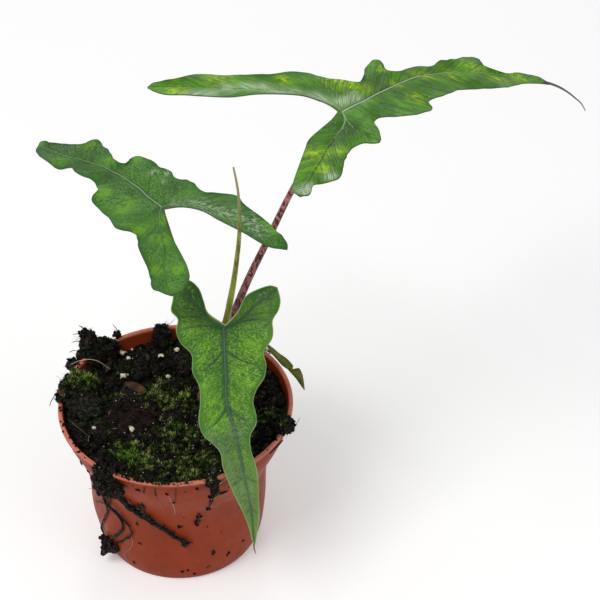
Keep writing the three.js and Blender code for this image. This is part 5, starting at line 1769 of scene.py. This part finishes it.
def wall_root(route, thick, thin, knobs):
    """A root along the wall with knobs and a wandering thickness."""
    angles, heights = smooth_line(route, 8)[0].T
    radius = np.linspace(thick, thin, len(angles))
    angles = angles + 1.1 * noise(heights / 5, thick * 9, 2.5) + 0.5 * noise(heights / 1.7, thick * 9, 6.5)
    line = np.vstack([on_wall(a, z, r + 0.5)[0] for a, z, r in zip(angles, heights, radius)])

    def radius_at(s, turn):
        wander = noise(14 * s, np.cos(turn), 1.5 + np.sin(turn)) + 0.6 * noise(45 * s, 2 * np.cos(turn), 6.5)
        return (thick + (thin - thick) * s) * (1 + knobs * wander)

    return rolled(line[::2], radius_at, 0.5, 14)


old_root_parts = [wall_root(OLD_ROOT, 1.7, 0.85, 0.5)]
old_root_parts.append(clod(on_wall(275.3, 34, 2.2)[0], (1.9, 1.7, 1.7), 31, 0.5, 4))
old_root_parts += [wall_root(stub, 0.6, 0.3, 0.4) for stub in OLD_STUBS]
for angle, z in OLD_KNOTS:
    old_root_parts.append(clod(on_wall(angle, z, 1.8)[0], (1.4, 1.2, 1.5), angle, 0.5, 3))


def stuck_soil(route, count, reach, most):
    """Crumbs of soil that stick to a root, more of them near its start."""
    line = smooth_line(route, 8)[0]
    crumbs_on_it = []
    for seed in range(count):
        angle, z = line[int(len(line) * chance.random() ** 1.5 * 0.98)]
        half = most * (0.5 + 0.5 * chance.random())
        angle += reach * chance.gauss(0, 0.8)
        z += reach * chance.gauss(0, 0.8)
        place = on_wall(angle, z, 1.2 * reach + 0.2)[0]
        crumbs_on_it.append(clod(place, (half, 0.8 * half, half), 90 + seed, 0.6, 2))
    return crumbs_on_it


old_root_parts += stuck_soil(OLD_ROOT, 60, 1.0, 0.85)
bark_root = joined(old_root_parts)
edit(bark_root, face_outwards)
smooth(bark_root, 70)
fine_parts = [wall_root(route, thick, thin, 0.6) for route, thick, thin in FINE_ROOTS]
for route, thick, _ in FINE_ROOTS[:4]:
    fine_parts += stuck_soil(route, 16, thick, 0.55)
fine_parts.append(clod(on_wall(217, 11, 3.8)[0], (3.2, 3.8, 4.2), 22, 0.4, 5))
fine_parts.append(clod(on_wall(222, 13, 2.2)[0], (3.2, 2.2, 3.4), 25, 0.4, 4))
fine_parts.append(clod(on_wall(214, 15, 2.6)[0], (2.4, 2.2, 2), 27, 0.5, 4))
thin_roots = joined(fine_parts)
edit(thin_roots, face_outwards)
smooth(thin_roots, 70)


def root_finish():
    """Nearly black, with brown patches and fine grey specks painted on as glints."""
    made = Finish("dead_root", 0.6, 0.14)
    made.ground(made.ramp(made.noise(350, 4), 0.35, 0.7), (2, 2, 2), (32, 23, 19))
    made.coat(made.ramp(made.noise(120, 3), 0.62, 0.72, 0, 0.4), (64, 44, 34))
    # Fine grey specks: painted glints
    made.coat(made.ramp(made.noise(1300, 1), 0.6, 0.68, 0, 0.4), (110, 100, 90))
    made.give("Normal", made.bump(made.noise(1100, 4, None, 0.7), 0.35, 0.9))
    return made.material


dead_root = root_finish()
seat(bark_root, "thick_dead_root", dead_root, "root", "old_root")
seat(thin_roots, "thin_dead_roots", dead_root, "root", "fine_roots")

# %% Crown
CROWN_PROFILE = [(3, 68), (6, 71), (8, 76), (8.6, 81), (8, 85), (6, 87.5), (3, 88.6)]
crown_route = [(CROWN[0], CROWN[1], z) for z in (68, 74, 80, 85, 88.8)]


def crown_radius(s, turn):
    base = np.interp(68 + 20.8 * s, [z for _, z in CROWN_PROFILE], [r for r, _ in CROWN_PROFILE])
    folds = 0.05 * np.cos(5 * turn + 6 * s) + 0.06 * noise(2.5 * np.cos(turn), 2.5 * np.sin(turn), 5 * s)
    return base * (1 + folds)


crown = rolled(crown_route, crown_radius, 0.7, 48)
smooth(crown, 60)
husk = Finish("old_leaf_bases", 0.65, 0.35)
husk_stripe = husk.ramp(husk.noise(420, 4, husk.mapped(husk.places, (1, 1, 0.15))), 0.35, 0.7)
husk.ground(husk_stripe, (66, 44, 26), (128, 96, 62))
husk.give("Normal", husk.bump(husk_stripe, 0.3, 0.8))
seat(crown, "leaf_base_crown", husk.material, "crown", "crown")

# %% Bark chip
CHIP_PLACE = (-21.5, 14.5)
CHIP_TILT, CHIP_TURN = 26, -33
deselect()
bpy.ops.mesh.primitive_cube_add(size=1)
chip = bpy.context.object
edit(chip, lambda: bpy.ops.mesh.subdivide(number_cuts=24))
shape = points_of(chip) * MM
narrow = 1 - 0.85 * np.abs(2 * shape[:, 0]) ** 1.7
grain = 0.3 * noise(3 * shape[:, 0], 14 * shape[:, 1], 5 * shape[:, 2])
shape = np.column_stack([13.5 * shape[:, 0], (4.6 * narrow + grain) * shape[:, 1] + 0.4 * shape[:, 0],
                         1.8 * (0.6 + 0.4 * narrow) * shape[:, 2] + 0.5 * grain])
shape = shape @ turning(0, math.radians(CHIP_TILT)) @ turning(2, math.radians(CHIP_TURN))
chip_height = float(soil_height(*CHIP_PLACE)) + 1.6
set_points(chip, shape + [*CHIP_PLACE, chip_height])
smooth(chip, 45)
bark = Finish("bark_wood", 0.75, 0.3)
bark_grain = bark.noise(260, 4, bark.mapped(bark.places, (0.25, 1, 1), (0, 0, math.radians(-CHIP_TURN))))
bark.ground(bark.ramp(bark_grain, 0.35, 0.65), (30, 17, 11), (98, 58, 36))
bark.give("Normal", bark.bump(bark_grain, 0.5, 0.8))
seat(chip, "bark_splinter", bark.material, "bark", "bark_chip")

# %% Perlite
PERLITE = [  # place and half width
    (-31, 44, 2.0), (-27.5, 40, 1.4), (-10.3, 42.6, 1.9), (-2, 47.3, 1.5), (-29, 25, 2.2), (-5.6, 26, 1.6),
    (-21.6, -17.2, 1.8), (-41, -16, 1.3),
]
SMALL_PERLITE = [
    (-23.7, 43.5, 0.9), (-25.2, 40.9, 0.7), (-29.5, 48.2, 0.8), (-26.3, 50.2, 0.9), (-26.8, 26.7, 0.8),
    (-31.5, 4.8, 0.7), (-22.8, -14.9, 0.7), (8.6, -42.1, 0.7), (-31, -44, 0.6), (5, -14, 0.5), (10, -30, 0.5),
    (-8, -8, 0.5), (30, -20, 0.6),
]
SPECKS = 110
GRAIN_SHAPE = np.array([0.8, 0.7, 0.7])
chalk = Finish("chalky_perlite", 0.9, 0.2)
chalk.ground(chalk.ramp(chalk.noise(800, 3), 0.3, 0.7), (206, 200, 168), (240, 236, 212))
chalk.give("Normal", chalk.bump(chalk.noise(1300, 3), 0.25, 0.8))
for i, (gx, gy, half) in enumerate(PERLITE):
    height = float(soil_height(gx, gy)) + 0.5 * half + 0.4
    grain = clod((gx, gy, height), GRAIN_SHAPE * half, 40 + i, 0.3, 3)
    smooth(grain, 80)
    seat(grain, f"perlite_grain_{i + 1}", chalk.material, "perlite", f"perlite_{i + 1}")

# %% Small perlite
specks = []
for _ in range(SPECKS):
    gx, gy = round(chance.gauss(4, 20), 1), round(chance.gauss(-22, 18), 1)
    specks.append((gx, gy, chance.uniform(0.2, 0.4)))
bits = [clod((46.8, 28.6, 100.4), (0.8, 0.8, 1.1), 77, 0.3, 2)]
for i, (gx, gy, half) in enumerate(SMALL_PERLITE + [speck for speck in specks if soil_spot(*speck[:2])]):
    above = 0.4 * half if half > 0.45 else 0.9
    bits.append(clod(soil_spot(gx, gy)[0] + [0, 0, above], GRAIN_SHAPE * half, 60 + i, 0.3, 2))
print("bits of perlite", len(bits))
small_grains = joined(bits)
smooth(small_grains, 80)
seat(small_grains, "perlite_bits", chalk.material, "perlite")
